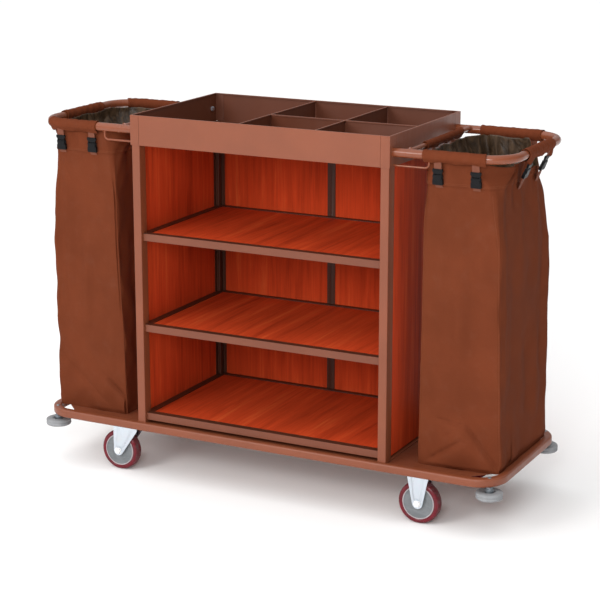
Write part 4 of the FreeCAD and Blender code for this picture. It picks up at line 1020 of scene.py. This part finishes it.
def bag_surface(sx, counts, rows):
    """The bag's outer surface as rows of points from the base sheet up to the mouth, with its UV."""
    flat_z = np.full(3, 0.985)
    x0, y0, kinds = section_rows(sx, flat_z, counts)
    along0 = np.where(np.floor(kinds).astype(int) % 2 == 0, x0[0] * sx, y0[0])
    top = mouth_height(sx, kinds, along0)
    stops, crowding = [0.0, 0.18, 0.26, 0.78, 0.86, 1.0], [3.2, 3.2, 1.0, 1.0, 3.0, 3.0]
    crowd = np.interp(np.linspace(0.0, 1.0, 400), stops, crowding)
    crowd = np.concatenate([[0.0], np.cumsum((crowd[1:] + crowd[:-1]) / 2.0)])
    v = np.interp(np.linspace(0.0, 1.0, rows), crowd / crowd[-1], np.linspace(0.0, 1.0, 400))
    bottom = deck_z + 0.0006
    hem_row = int(np.searchsorted(v, (HEM_Z - bottom) / (1.055 - bottom)))
    lower = bottom + (HEM_Z - bottom) * v[:hem_row + 1] / v[hem_row]
    lower[-2] = HEM_Z - 0.0014
    upper = (v[hem_row + 1:] - v[hem_row]) / (1.0 - v[hem_row])
    below_hem = np.repeat(lower[:, None], len(top), 1)
    z = np.concatenate([below_hem, HEM_Z + upper[:, None] * (top[None, :] - HEM_Z)])
    columns = len(kinds)
    x, y = np.zeros_like(z), np.zeros_like(z)
    for c in range(columns):
        xs, ys, _k = section_rows(sx, z[:, c], counts)
        x[:, c], y[:, c] = xs[:, c], ys[:, c]
    dx = np.roll(x, -1, 1) - np.roll(x, 1, 1)
    dy = np.roll(y, -1, 1) - np.roll(y, 1, 1)
    size = np.maximum(np.hypot(dx, dy), 1e-9)
    nx, ny = dy / size, -dx / size
    face = np.broadcast_to(np.floor(kinds).astype(int)[None, :], z.shape)
    local = np.where(face % 2 == 0, x * sx, y)
    random = np.random.RandomState(7 if sx > 0 else 19)
    push = np.zeros_like(z)
    fading = [1.0 - smooth_step(0.0, 0.6, np.clip(kinds - n, 0.0, 1.0)) for n in range(4)]
    weight = [fading[n][None, :] * (face == n) for n in range(4)]
    for start, end, depth, width in FRONT_CREASES[sx]:
        push += weight[0] * crease(local, z, start, end, depth, width)
    for at, width, depth in OUTER_FOLDS:
        lean = random.uniform(-0.03, 0.03)
        swell = 0.65 + 0.35 * np.sin(z * random.uniform(5.0, 9.0) + random.uniform(0.0, 6.28))
        push += (face == 1) * swell * soft_fold(local, z, at, width, depth, 0.24, 1.00, lean)
    for n, count, size_most in ((0, 7, 0.0064), (2, 8, 0.0060), (3, 8, 0.0056)):
        for _ in range(count):
            half = 0.10 if n % 2 == 0 else 0.18
            low = random.uniform(0.20, 0.55)
            at, width = random.uniform(-half, half), random.uniform(0.014, 0.032)
            depth, high = random.uniform(-size_most, size_most), low + random.uniform(0.3, 0.6)
            lean = random.uniform(-0.05, 0.05)
            push += weight[n] * soft_fold(local, z, at, width, depth, low, high, lean)
    for n in (2, 3):
        for _ in range(4):
            a, b = random.uniform(-0.09, 0.09, 2)
            start, end = (a, random.uniform(0.19, 0.24)), (b, random.uniform(0.27, 0.36))
            push += weight[n] * crease(local, z, start, end, 0.0045, 0.007)
    round_bag = np.cumsum(np.hypot(np.diff(x0[0], append=x0[0][:1]), np.diff(y0[0], append=y0[0][:1])))[None, :]
    whole = round_bag.max()
    away = smooth_step(0.0, 0.04, round_bag) * smooth_step(0.0, 0.04, whole - round_bag)
    for _ in range(8):
        wave, tilt = random.uniform(0.045, 0.120), random.uniform(-0.7, 0.7)
        travel = round_bag * math.cos(tilt) + z * math.sin(tilt)
        push += 0.0095 * wave * away * np.sin(2 * math.pi * travel / wave + random.uniform(0.0, 6.28))
    gather = smooth_step(0.900, 1.000, z)
    free = np.where((face == 0) & (kinds[None, :] % 1.0 < 0.01), 0.30, 1.0)
    for wave, height in ((0.031, 0.0008), (0.052, 0.0020), (0.087, 0.0026)):
        phase = random.uniform(0.0, 6.28)
        ripple = np.sin(2 * math.pi * round_bag / wave + phase + 0.7 * (z - 0.98) / wave)
        push += free * gather * height * ripple
    near = np.minimum(np.abs(local - np.where(face % 2 == 0, STRAP_X[0], STRAP_Y[0])),
                      np.abs(local - np.where(face % 2 == 0, STRAP_X[1], STRAP_Y[1])))
    part = (kinds - np.floor(kinds))[None, :]
    pull = np.exp(-(near / 0.016) ** 2) * (part < 0.01)
    push += 0.0045 * pull * np.exp(-((z - 0.990) / 0.030) ** 2)
    push *= 1.0 - 0.85 * pull * smooth_step(0.955, 0.985, z)
    push += 0.0022 * (z > HEM_Z - 0.0007)
    for n, spots in ((0, STRAP_X), (1, STRAP_Y), (2, STRAP_X), (3, STRAP_Y)):
        for spot in spots:
            for way in (-1, 1):
                end = (spot + way * random.uniform(0.012, 0.040), HEM_Z - random.uniform(0.05, 0.09))
                start = (spot + way * 0.006, HEM_Z - 0.004)
                push += weight[n] * crease(local, z, end, start, 0.0012, 0.0040, 0.3)
    for n in range(4):
        middle = np.exp(-((kinds - n - 0.5) / 0.11) ** 2)[None, :]
        push += 0.0024 * middle * (1.0 - smooth_step(0.93, 0.99, z))
    for packed_z in (0.46, 0.79):
        uneven = 0.7 + 0.3 * np.sin(2 * math.pi * round_bag / 0.17 + 9.0 * packed_z)
        push += 0.0013 * uneven * np.exp(-((z - packed_z) / 0.008) ** 2)
    sag = np.sin(2 * math.pi * round_bag / 0.21 + 1.0) + 0.6 * np.sin(2 * math.pi * round_bag / 0.124 + sx)
    push += 0.0016 * sag * (1.0 - smooth_step(0.172, 0.230, z))
    settle = 1.0 - 0.6 * (1.0 - smooth_step(0.172, 0.185, z))
    push = push * settle
    x, y = x + nx * push, y + ny * push
    if sx > 0:
        drawn_in = 0.012 * np.clip((x + 0.11) / 0.22, 0.0, 1.0) * (1.0 - smooth_step(0.172, 0.42, z))
        y += np.where(y < -0.10, drawn_in, 0.0)
    x = np.minimum(x, np.where(z < 0.184, 0.1172, 0.1245))
    points = np.stack([sx * (BAG_X + x), y, z], -1)
    return points, round_bag[0], kinds


# Columns over a front or back wall, over a corner, and over a side wall.
BAG_COLUMNS = (58, 8, 78)
BAG_ROWS = 140
CLOTH_SHEET = 0.0018


def walled(piece, name, thickness):
    """Gives an open sheet its thickness, on its inner side."""
    wall = piece.modifiers.new(name, "SOLIDIFY")
    wall.thickness = thickness
    wall.offset = -1.0
    return wall


bag_walls = {}
for side, sx in (("left", -1), ("right", 1)):
    surface, round_bag, kinds = bag_surface(sx, BAG_COLUMNS, BAG_ROWS)
    bag_walls[side] = (surface, kinds)
    columns = surface.shape[1]
    foot = surface[0]
    middle = foot.mean(0)
    rings = [middle + (foot - middle) * s for s in (0.12, 0.35, 0.6, 0.82, 0.95)]
    for ring, lift in zip(rings, (0.0005, 0.0009, 0.0006, 0.0003, 0.0)):
        ring[:, 2] = deck_z + 0.0004 + lift
    cloth = np.concatenate([np.array(rings).reshape(-1, 3), surface.reshape(-1, 3)])
    faces = grid_faces(BAG_ROWS + len(rings), columns, False, True)
    faces.append(tuple(range(columns)))
    if sx > 0:
        faces = [tuple(reversed(face)) for face in faces]
    under = np.repeat(np.linspace(0.0, 0.15, len(rings))[:, None], columns, 1)
    level = np.concatenate([under, surface[:, :, 2]])
    across = np.broadcast_to(round_bag[None, :], level.shape)
    uv = np.stack([across, level], -1).reshape(-1, 2)
    bag = finish_piece("bag_%s_cloth" % side, cloth, faces, [bag_cloth, bag_lining], "chassis", "bag_cloth",
                       ["bag_" + side], 60.0, uv)
    walled(bag, "cloth and lining", CLOTH_SHEET).material_offset = 1

# ---- stitching -----------------------------------------------------------------------------------
# A double row of tan lockstitches holds the hem that is turned down round each mouth, and a
# single row closes each upright corner. One tree lays the stitches along any seam line.
CORNER_ROWS = slice(3, -22)


def stitch_rows():
    """Short rounded stitches, laid end to end along the source's edges with a gap between them."""
    tree, given = new_tree("lockstitches", ["Pitch", "Stitch length", "Thread radius"])
    line = tree_node(tree, "GeometryNodeMeshToCurve", None, Mesh=given["Places"])
    spots = tree_node(tree, "GeometryNodeCurveToPoints", {"mode": "LENGTH"}, Curve=line.outputs[0],
                      Length=given["Pitch"])
    thread = tree_node(tree, "GeometryNodeMeshUVSphere", None, Segments=6, Rings=5, Radius=0.5)
    size = tree_node(tree, "ShaderNodeCombineXYZ", None, X=given["Thread radius"], Y=given["Thread radius"],
                     Z=given["Stitch length"])
    placed = tree_node(tree, "GeometryNodeInstanceOnPoints", None, Points=spots.outputs[0],
                       Instance=thread.outputs[0], Rotation=spots.outputs["Rotation"], Scale=size.outputs[0])
    return end_tree(tree, placed.outputs[0], given)


lockstitch = stitch_rows()


def seam_source(name, lines):
    """A mesh of edges only, from lines that are (points, closed)."""
    points, edges = [], []
    for line, closed in lines:
        start = len(points)
        points += [tuple(p) for p in line]
        edges += [(start + i, start + i + 1) for i in range(len(line) - 1)]
        if closed:
            edges.append((len(points) - 1, start))
    source = bpy.data.meshes.new(name + "_line")
    source.from_pydata(points, edges, [])
    return source


def stitched(name, lines, stands_for=(), pitch=0.0046, length=0.0034, radius=0.0011):
    sizes = {"Pitch": pitch, "Stitch length": length, "Thread radius": radius}
    mesh = grown(name, seam_source(name, lines), lockstitch, sizes, thread_tan)
    return adopt(name, mesh, "chassis", stands_for)


def wall_line(side, z):
    """The line round a bag's wall at a height, just clear of the cloth."""
    surface, _kinds = bag_walls[side]
    line = []
    for c in range(surface.shape[1]):
        column = surface[:, c]
        r = int(np.searchsorted(column[:, 2], z))
        r = min(max(r, 1), len(column) - 1)
        t = (z - column[r - 1, 2]) / max(column[r, 2] - column[r - 1, 2], 1e-9)
        line.append(column[r - 1] + (column[r] - column[r - 1]) * min(max(t, 0.0), 1.0))
    return np.array(line)


def moved_out(line, distance):
    """A closed level line moved out from its middle by a distance."""
    along = np.roll(line, -1, 0) - np.roll(line, 1, 0)
    size = np.hypot(along[:, 0], along[:, 1])
    out = np.stack([along[:, 1] / size, -along[:, 0] / size, np.zeros(len(line))], 1)
    middle = line.mean(0)
    if ((line - middle) * out).sum() < 0:
        out = -out
    return line + out * distance


for side in ("left", "right"):
    lines = [(moved_out(wall_line(side, z), 0.0003), True) for z in (HEM_Z + 0.0035, HEM_Z + 0.0075)]
    surface, kinds = bag_walls[side]
    for corner in range(4):
        column = int(np.argmin(np.abs(kinds - corner - 0.28)))
        upright = surface[CORNER_ROWS, column].copy()
        centre = surface[:, :, :2].reshape(-1, 2).mean(0)
        out = upright[:, :2] - centre
        upright[:, :2] += 0.0002 * out / np.linalg.norm(out, axis=1)[:, None]
        lines.append((upright, False))
    stitches = stitched("bag_%s_stitches" % side, lines)
    girth = wall_line(side, 0.6)
    "hoop_%s_piece" % side

# ---- sleeves on the hoops ------------------------------------------------------------------------
# The straps are sewn into cloth sleeves that wrap the tubes, four to a bag. Each is one
# hemmed strip folded round the tube and stitched to itself below it, creased by the pull.
SLEEVE_R = 0.0148
BAR_SLEEVE_R = 0.0096
SLEEVE_SHEET = 0.0012
SLEEVE_SIDES = 40
SEWN_SIDE = 30


def sleeve_mesh(line, outs, up_z, radius, skirt, crumple, seed, tabs=()):
    """A crumpled sleeve round a line of points: hemmed ends, a sewn fin below, and deeper tabs along it."""
    random = np.random.RandomState(seed)
    total = np.cumsum([0.0] + [(b - a).length for a, b in zip(line, line[1:])])
    phases = random.uniform(0.0, 6.28, 8)
    points, uv = [], []
    for point, out, s in zip(line, outs, total):
        end = min(s, total[-1] - s)
        hem = 0.0008 * (1.0 - smooth_step(0.0085, 0.0095, end)) - 0.0005 * (1.0 - smooth_step(0.0, 0.0012, end))
        for step in range(SLEEVE_SIDES):
            a = 2.0 * math.pi * step / SLEEVE_SIDES
            below = math.exp(-((math.atan2(math.sin(a + math.pi / 2), math.cos(a + math.pi / 2))) / 0.34) ** 2)
            wave = math.sin(2 * math.pi * s / 0.034 + 2 * a + phases[0])
            wave += 0.8 * math.sin(2 * math.pi * s / 0.019 - 3 * a + phases[1])
            wave += 0.7 * math.sin(2 * math.pi * s / 0.071 + a + phases[2])
            drop = skirt * (1.0 + 0.35 * math.sin(2 * math.pi * s / 0.083 + phases[3]))
            drop += sum(depth * math.exp(-((s - at * total[-1]) / 0.016) ** 2) for at, depth in tabs)
            r = radius + hem + crumple * 0.5 * (1.6 + wave) * 0.5 + drop * below
            points.append(Vector((point.x + out.x * r * math.cos(a), point.y + out.y * r * math.cos(a),
                                  up_z + r * math.sin(a))))
            uv.append((s, a * radius))
    return points, grid_faces(len(line), SLEEVE_SIDES, False, True), uv


def part_of_hoop(sx, start, end, count):
    """Even points along a hoop from one length to another, with the outward direction at each."""
    route = hoop_route(sx, 40)
    reach = np.cumsum([0.0] + [(b[0] - a[0]).length for a, b in zip(route, route[1:])])
    found = []
    for s in np.linspace(start, end, count):
        i = int(min(max(np.searchsorted(reach, s), 1), len(route) - 1))
        t = (s - reach[i - 1]) / max(reach[i] - reach[i - 1], 1e-9)
        found.append((route[i - 1][0].lerp(route[i][0], t), route[i - 1][1].lerp(route[i][1], t).normalized()))
    return [p for p, _o in found], [o for _p, o in found]


straight_arm = end_x - HOOP_BEND - near_x
bend_run = HOOP_BEND * math.pi / 2
end_run = 2 * (arm_y - HOOP_BEND)
hoop_run = 2 * straight_arm + 2 * bend_run + end_run
to_end = straight_arm + bend_run + (arm_y - HOOP_BEND)
# Start and end along each hoop from its front end, the fin's depth, how crumpled, and its tabs: (place, depth).
sleeve_runs = {
    1: [(0.505 - near_x, straight_arm + HOOP_BEND * 0.28, 0.0035, 0.0011, ()),
        (to_end - 0.104, to_end + 0.100, 0.0060, 0.0020, ((0.20, 0.011), (0.99, 0.013))),
        (hoop_run - (straight_arm + HOOP_BEND * 0.27), hoop_run - (0.493 - near_x), 0.0045, 0.0013, ())],
    -1: [(0.545 - near_x, straight_arm + HOOP_BEND * 0.68, 0.0050, 0.0016, ((0.97, 0.005),)),
         (to_end - 0.100, to_end + 0.104, 0.0060, 0.0018, ((0.25, 0.009), (0.85, 0.009))),
         (hoop_run - (straight_arm + HOOP_BEND * 0.64), hoop_run - (0.535 - near_x), 0.0045, 0.0014, ())],
}
sleeves = []
seed = 40
for side, sx in (("left", -1), ("right", 1)):
    parts, lines = [], []
    for start, end, skirt, crumple, tabs in sleeve_runs[sx]:
        seed += 1
        line, outs = part_of_hoop(sx, start, end, int((end - start) / 0.0022))
        parts.append(sleeve_mesh(line, outs, hoop_z, SLEEVE_R, skirt, crumple, seed, tabs))
    seed += 1
    ys = np.linspace(-0.115, 0.150, 120)
    line = [Vector((sx * bar_x, y)) for y in ys]
    parts.append(sleeve_mesh(line, [Vector((sx, 0.0))] * len(line), bar_z, BAR_SLEEVE_R, 0.006, 0.0014, seed))
    for number, (points, faces, uv) in enumerate(parts):
        stands = ["bag_sleeves"] if not sleeves else []
        name = "sleeve_%s_%d" % (side, number + 1)
        sleeve = finish_piece(name, points, faces, bag_cloth, "chassis", "bag_cloth", stands, 70.0, uv)
        outward(sleeve)
        walled(sleeve, "cloth", SLEEVE_SHEET)
        sleeves.append(sleeve)
        sewn = points[SEWN_SIDE::SLEEVE_SIDES]
        length = sum((b - a).length for a, b in zip(sewn, sewn[1:]))
        round_sleeve = 2 * math.pi * (SLEEVE_R if number < 3 else BAR_SLEEVE_R) + 0.012
        "hoop_%s_piece" % side if number < 3 else "hoop_crossbars_piece"

# ---- straps and buckles --------------------------------------------------------------------------
# Each strap is a tab of brown webbing from a sleeve to the male half of a black side-release
# buckle; its female half hangs from it and is sewn to the bag's hem with a shorter tab.
STRAP_WIDE, STRAP_SHEET = 0.022, 0.0016


def webbing_finish():
    """Ribbed brown webbing on its own UV: fat ribs across its width, crossed by fine picks and worn in patches.
    """
    f = Finish("brown ribbed webbing", IOR=1.40, Specular_IOR_Level=0.16)
    across = f.uv(0)
    along = f.uv(1)
    ribs = (across * (2 * math.pi / 0.0022)).math("SINE")
    picks = (along * (2 * math.pi / 0.0013)).math("SINE")
    weave = ribs * 0.6 + ribs * picks * 0.4
    worn = f.noise(f.place(), 90.0, 4.0)
    shade = f.blend(f.between(weave, -0.8, 0.6), (0.105, 0.032, 0.018), (0.200, 0.072, 0.045))
    shade = f.blend(f.between(worn, 0.5, 0.8, 0.0, 0.4), shade, (0.23, 0.10, 0.065))
    return f.feed(Base_Color=shade, Roughness=f.between(worn, 0.2, 0.8, 0.62, 0.78),
                  Normal=f.bump(weave, 0.0002, 0.9))


webbing = webbing_finish()
buckle_black = moulded("black buckle acetal", (0.0060, 0.0060, 0.0068), 900.0, 0.36, 0.2, 0.14)


def outlined(outline, low, high):
    """A flat outline of (across, down) points given thickness, from low to high."""
    count = len(outline)
    points = [(x, low, z) for x, z in outline] + [(x, high, z) for x, z in outline]
    faces = [tuple(range(count)), tuple(reversed(range(count, 2 * count)))]
    faces += [(i, (i + 1) % count, (i + 1) % count + count, i + count) for i in range(count)]
    return points, faces


def mirrored(half):
    """An outline from its right half, given from top to bottom."""
    return half + [(-x, z) for x, z in reversed(half)]


male_bar = mirrored([(0.0142, -0.0004), (0.0150, -0.0020), (0.0150, -0.0075), (0.0128, -0.0105),
                     (0.0118, -0.0140)])
male_core = mirrored([(0.0060, -0.0120), (0.0060, -0.0270)])
prong = [(0.0068, -0.0120), (0.0118, -0.0120), (0.0140, -0.0170), (0.0151, -0.0215), (0.0146, -0.0262),
         (0.0118, -0.0290), (0.0105, -0.0262), (0.0112, -0.0210), (0.0098, -0.0165)]
female_shell = mirrored([(0.0128, -0.0165), (0.0138, -0.0180), (0.0122, -0.0215), (0.0122, -0.0262),
                         (0.0148, -0.0300), (0.0150, -0.0345), (0.0150, -0.0430), (0.0140, -0.0450)])
female_lip = mirrored([(0.0120, -0.0190), (0.0105, -0.0330)])
buckle_shapes = [
    (male_bar, -0.0030, 0.0030), (male_core, -0.0012, 0.0012), (prong, -0.0022, 0.0022),
    ([(-x, z) for x, z in reversed(prong)], -0.0022, 0.0022), (female_shell, -0.0044, 0.0044),
    (female_lip, -0.0050, -0.0042), (mirrored([(0.0135, -0.0385), (0.0135, -0.0400)]), -0.0050, -0.0040),
    (mirrored([(0.0132, -0.0030), (0.0132, -0.0042)]), -0.0038, -0.0028),
]


def wall_point(side, face, along, z):
    """The point of a bag's wall on a face, at a place along it and a height."""
    surface, kinds = bag_walls[side]
    line = wall_line(side, z)
    axis = 0 if face % 2 == 0 else 1
    columns = [c for c in range(len(kinds)) if abs(kinds[c] - face) < 1e-6]
    best = min(columns, key=lambda c: abs(line[c][axis] - along))
    return Vector(line[best])


def strap_strip(length, width, thick):
    """A webbing strip that hangs down from its origin, as a fine grid with rounded edges."""
    edge = width / 2
    section = [(-edge, 0.0), (-edge + 0.0006, -thick / 2), (edge - 0.0006, -thick / 2), (edge, 0.0),
               (edge - 0.0006, thick / 2), (-edge + 0.0006, thick / 2)]
    rows = max(3, int(length / 0.004))
    points, uv = [], []
    for r in range(rows):
        z = -length * r / (rows - 1)
        for x, y in section:
            points.append((x, y, z))
            uv.append((x, z))
    sides = len(section)
    return points, capped(grid_faces(rows, sides, False, True), sides, len(points)), uv


strap_parts, buckle_parts, strap_uv, box_stitches = [], [], [], []
for side, sx in (("left", -1), ("right", 1)):
    hangs = []
    for along in STRAP_X:
        for face, sy in ((0, -1), (2, 1)):
            hoop_arm = Vector((0, sy * arm_y, hoop_z))
            hangs.append((face, BAG_X * sx + along, Vector((0, sy, 0)), hoop_arm, SLEEVE_R))
    for along in STRAP_Y:
        hangs.append((1, along, Vector((sx, 0, 0)), Vector((sx * end_x, 0, hoop_z)), SLEEVE_R))
        hangs.append((3, along, Vector((-sx, 0, 0)), Vector((sx * bar_x, 0, bar_z)), BAR_SLEEVE_R))
    for face, along, out, bar, sleeve_r in hangs:
        foot_z = HEM_Z + (-0.013 if face == 1 else 0.002)
        wall = wall_point(side, face, along, foot_z)
        foot = wall + out * 0.0052
        start = Vector((along, bar.y, bar.z)) if face % 2 == 0 else Vector((bar.x, along, bar.z))
        start += out * (0.006 if face == 1 else 0.0) - Vector((0, 0, sleeve_r + 0.0006))
        down = (foot - start).normalized()
        across = down.cross(out).normalized()
        normal = across.cross(down).normalized()
        if normal.dot(out) < 0:
            across, normal = -across, -normal
        place = Matrix((across, -normal, -down)).transposed().to_4x4()
        place.translation = start
        run = (foot - start).length
        lead = 0.0160 if face == 1 else max(run - 0.0460, 0.004)
        points, faces, uv = strap_strip(lead + 0.007, STRAP_WIDE, STRAP_SHEET)
        strap_parts.append(([tuple(place @ Vector(p)) for p in points], faces))
        strap_uv += uv
        drop = place @ Matrix.Translation((0, 0, -lead))
        for outline, low, high in buckle_shapes:
            points, faces = outlined(outline, low, high)
            buckle_parts.append(([tuple(drop @ Vector(p)) for p in points], faces))
        lower = wall_point(side, face, along, foot_z - 0.008)
        tab_top = drop @ Vector((0, 0, -0.0425))
        tab_way = lower + out * 0.0012 - tab_top
        tab_down = tab_way.normalized()
        tab_inward = across.cross(tab_down).normalized()
        if tab_inward.dot(out) > 0:
            tab_inward = -tab_inward
        tab = Matrix((across, tab_inward, -tab_down)).transposed().to_4x4()
        tab.translation = tab_top
        points, faces, uv = strap_strip(tab_way.length, STRAP_WIDE, STRAP_SHEET)
        strap_parts.append(([tuple(tab @ Vector(p)) for p in points], faces))
        strap_uv += uv
        lift = -STRAP_SHEET * 0.55
        for strip, z in ((tab, -0.006), (tab, -tab_way.length + 0.0025), (place, -0.0035)):
            box_stitches.append(([strip @ Vector((x, lift, z)) for x in np.linspace(-0.009, 0.009, 6)], False))
points, faces = merged(strap_parts)
outward(finish_piece("bag_straps_piece", points, faces, webbing, "chassis", "webbing", ["bag_straps"], 50.0,
                     strap_uv))
points, faces = merged(buckle_parts)
buckles = outward(finish_piece("bag_buckles_piece", points, faces, buckle_black, "chassis", "buckle_plastic",
                               ["bag_buckles"], 40.0))
eased(buckles, 0.0007)
stitched("strap_stitches", box_stitches, (), 0.0026, 0.0020, 0.0007)

# ---- floor, light and camera ---------------------------------------------------------------------
# A pale seamless floor, two broad soft lights in front of the cart, and a white surround
# that is brightest overhead, dims towards the right and back, and is pale along the horizon.
floor_paint = Finish("pale studio floor", Roughness=0.9)
cloudy = floor_paint.noise(floor_paint.place(), 1.2, 2.0)
floor_shade = floor_paint.blend(cloudy, (0.95, 0.95, 0.95), (0.97, 0.97, 0.97))
floor_paint.feed(Base_Color=floor_shade)
floor_corners = [(-60, -60, 0), (60, -60, 0), (60, 60, 0), (-60, 60, 0)]
floor_mesh = plain_mesh("studio_floor", floor_corners, [(0, 1, 2, 3)], floor_paint.material)
floor = bpy.data.objects.new("studio_floor", floor_mesh)
bpy.context.scene.collection.objects.link(floor)

world = bpy.data.worlds.new("studio surround")
world.use_nodes = True
sky = world.node_tree
way = sky.nodes.new("ShaderNodeSeparateXYZ")
sky.links.new(sky.nodes.new("ShaderNodeTexCoord").outputs["Generated"], way.inputs[0])
strength = sky.nodes.new("ShaderNodeValue").outputs[0]
strength.default_value = 1.0
# Along each axis: where the change starts and ends, and how bright the surround is there.
surround = {"X": (-0.30, 0.95, 1.0, 0.36), "Y": (-0.25, 0.85, 1.0, 0.46), "Z": (0.02, 0.75, 0.68, 1.80)}
for axis, stops in surround.items():
    shading = sky.nodes.new("ShaderNodeMapRange")
    shading.interpolation_type = "SMOOTHSTEP"
    for socket, value in zip(shading.inputs[1:5], stops):
        socket.default_value = value
    sky.links.new(way.outputs[axis], shading.inputs[0])
    product = sky.nodes.new("ShaderNodeMath")
    product.operation = "MULTIPLY"
    sky.links.new(strength, product.inputs[0])
    sky.links.new(shading.outputs[0], product.inputs[1])
    strength = product.outputs[0]
horizon = sky.nodes.new("ShaderNodeMapRange")
HORIZON = (0.05, 0.12, 0.92, 0.0)
for socket, value in zip(horizon.inputs[1:5], HORIZON):
    socket.default_value = value
sky.links.new(way.outputs["Z"], horizon.inputs[0])
brightest = sky.nodes.new("ShaderNodeMath")
brightest.operation = "MAXIMUM"
sky.links.new(strength, brightest.inputs[0])
sky.links.new(horizon.outputs[0], brightest.inputs[1])
sky.links.new(brightest.outputs[0], sky.nodes["Background"].inputs["Strength"])
sky.nodes["Background"].inputs["Color"].default_value = (1.0, 1.0, 1.0, 1.0)
bpy.context.scene.world = world
bpy.context.scene.view_settings.view_transform = "Standard"


def soft_box(name, at, aim, size, power, colour=(1.0, 1.0, 1.0)):
    """A square soft light that faces a point."""
    lamp = bpy.data.lights.new(name, "AREA")
    lamp.size = size
    lamp.energy = power
    lamp.color = colour
    box = bpy.data.objects.new(name, lamp)
    box.location = at
    box.rotation_euler = (Vector(aim) - Vector(at)).to_track_quat("-Z", "Y").to_euler()
    bpy.context.scene.collection.objects.link(box)


soft_box("key", (-1.7, -4.8, 2.9), (0.0, 0.0, 0.6), 1.8, 95.0, (1.0, 0.985, 0.965))
soft_box("front fill", (2.0, -5.0, 2.6), (0.0, 0.0, 0.6), 1.4, 105.0)

# The eye stands in front of the cart, towards its right end, and looks a little down on it.
LENS = 109.94
EYE_AT = (2.436, -4.739, 1.942)
EYE_TILT, EYE_ROUND = 75.35, 27.09
camera = bpy.data.cameras.new("camera")
camera.lens = LENS
camera.sensor_width = 36.0
eye = bpy.data.objects.new("camera", camera)
eye.location = EYE_AT
eye.rotation_euler = (math.radians(EYE_TILT), 0.0, math.radians(EYE_ROUND))
bpy.context.scene.collection.objects.link(eye)
bpy.context.scene.camera = eye
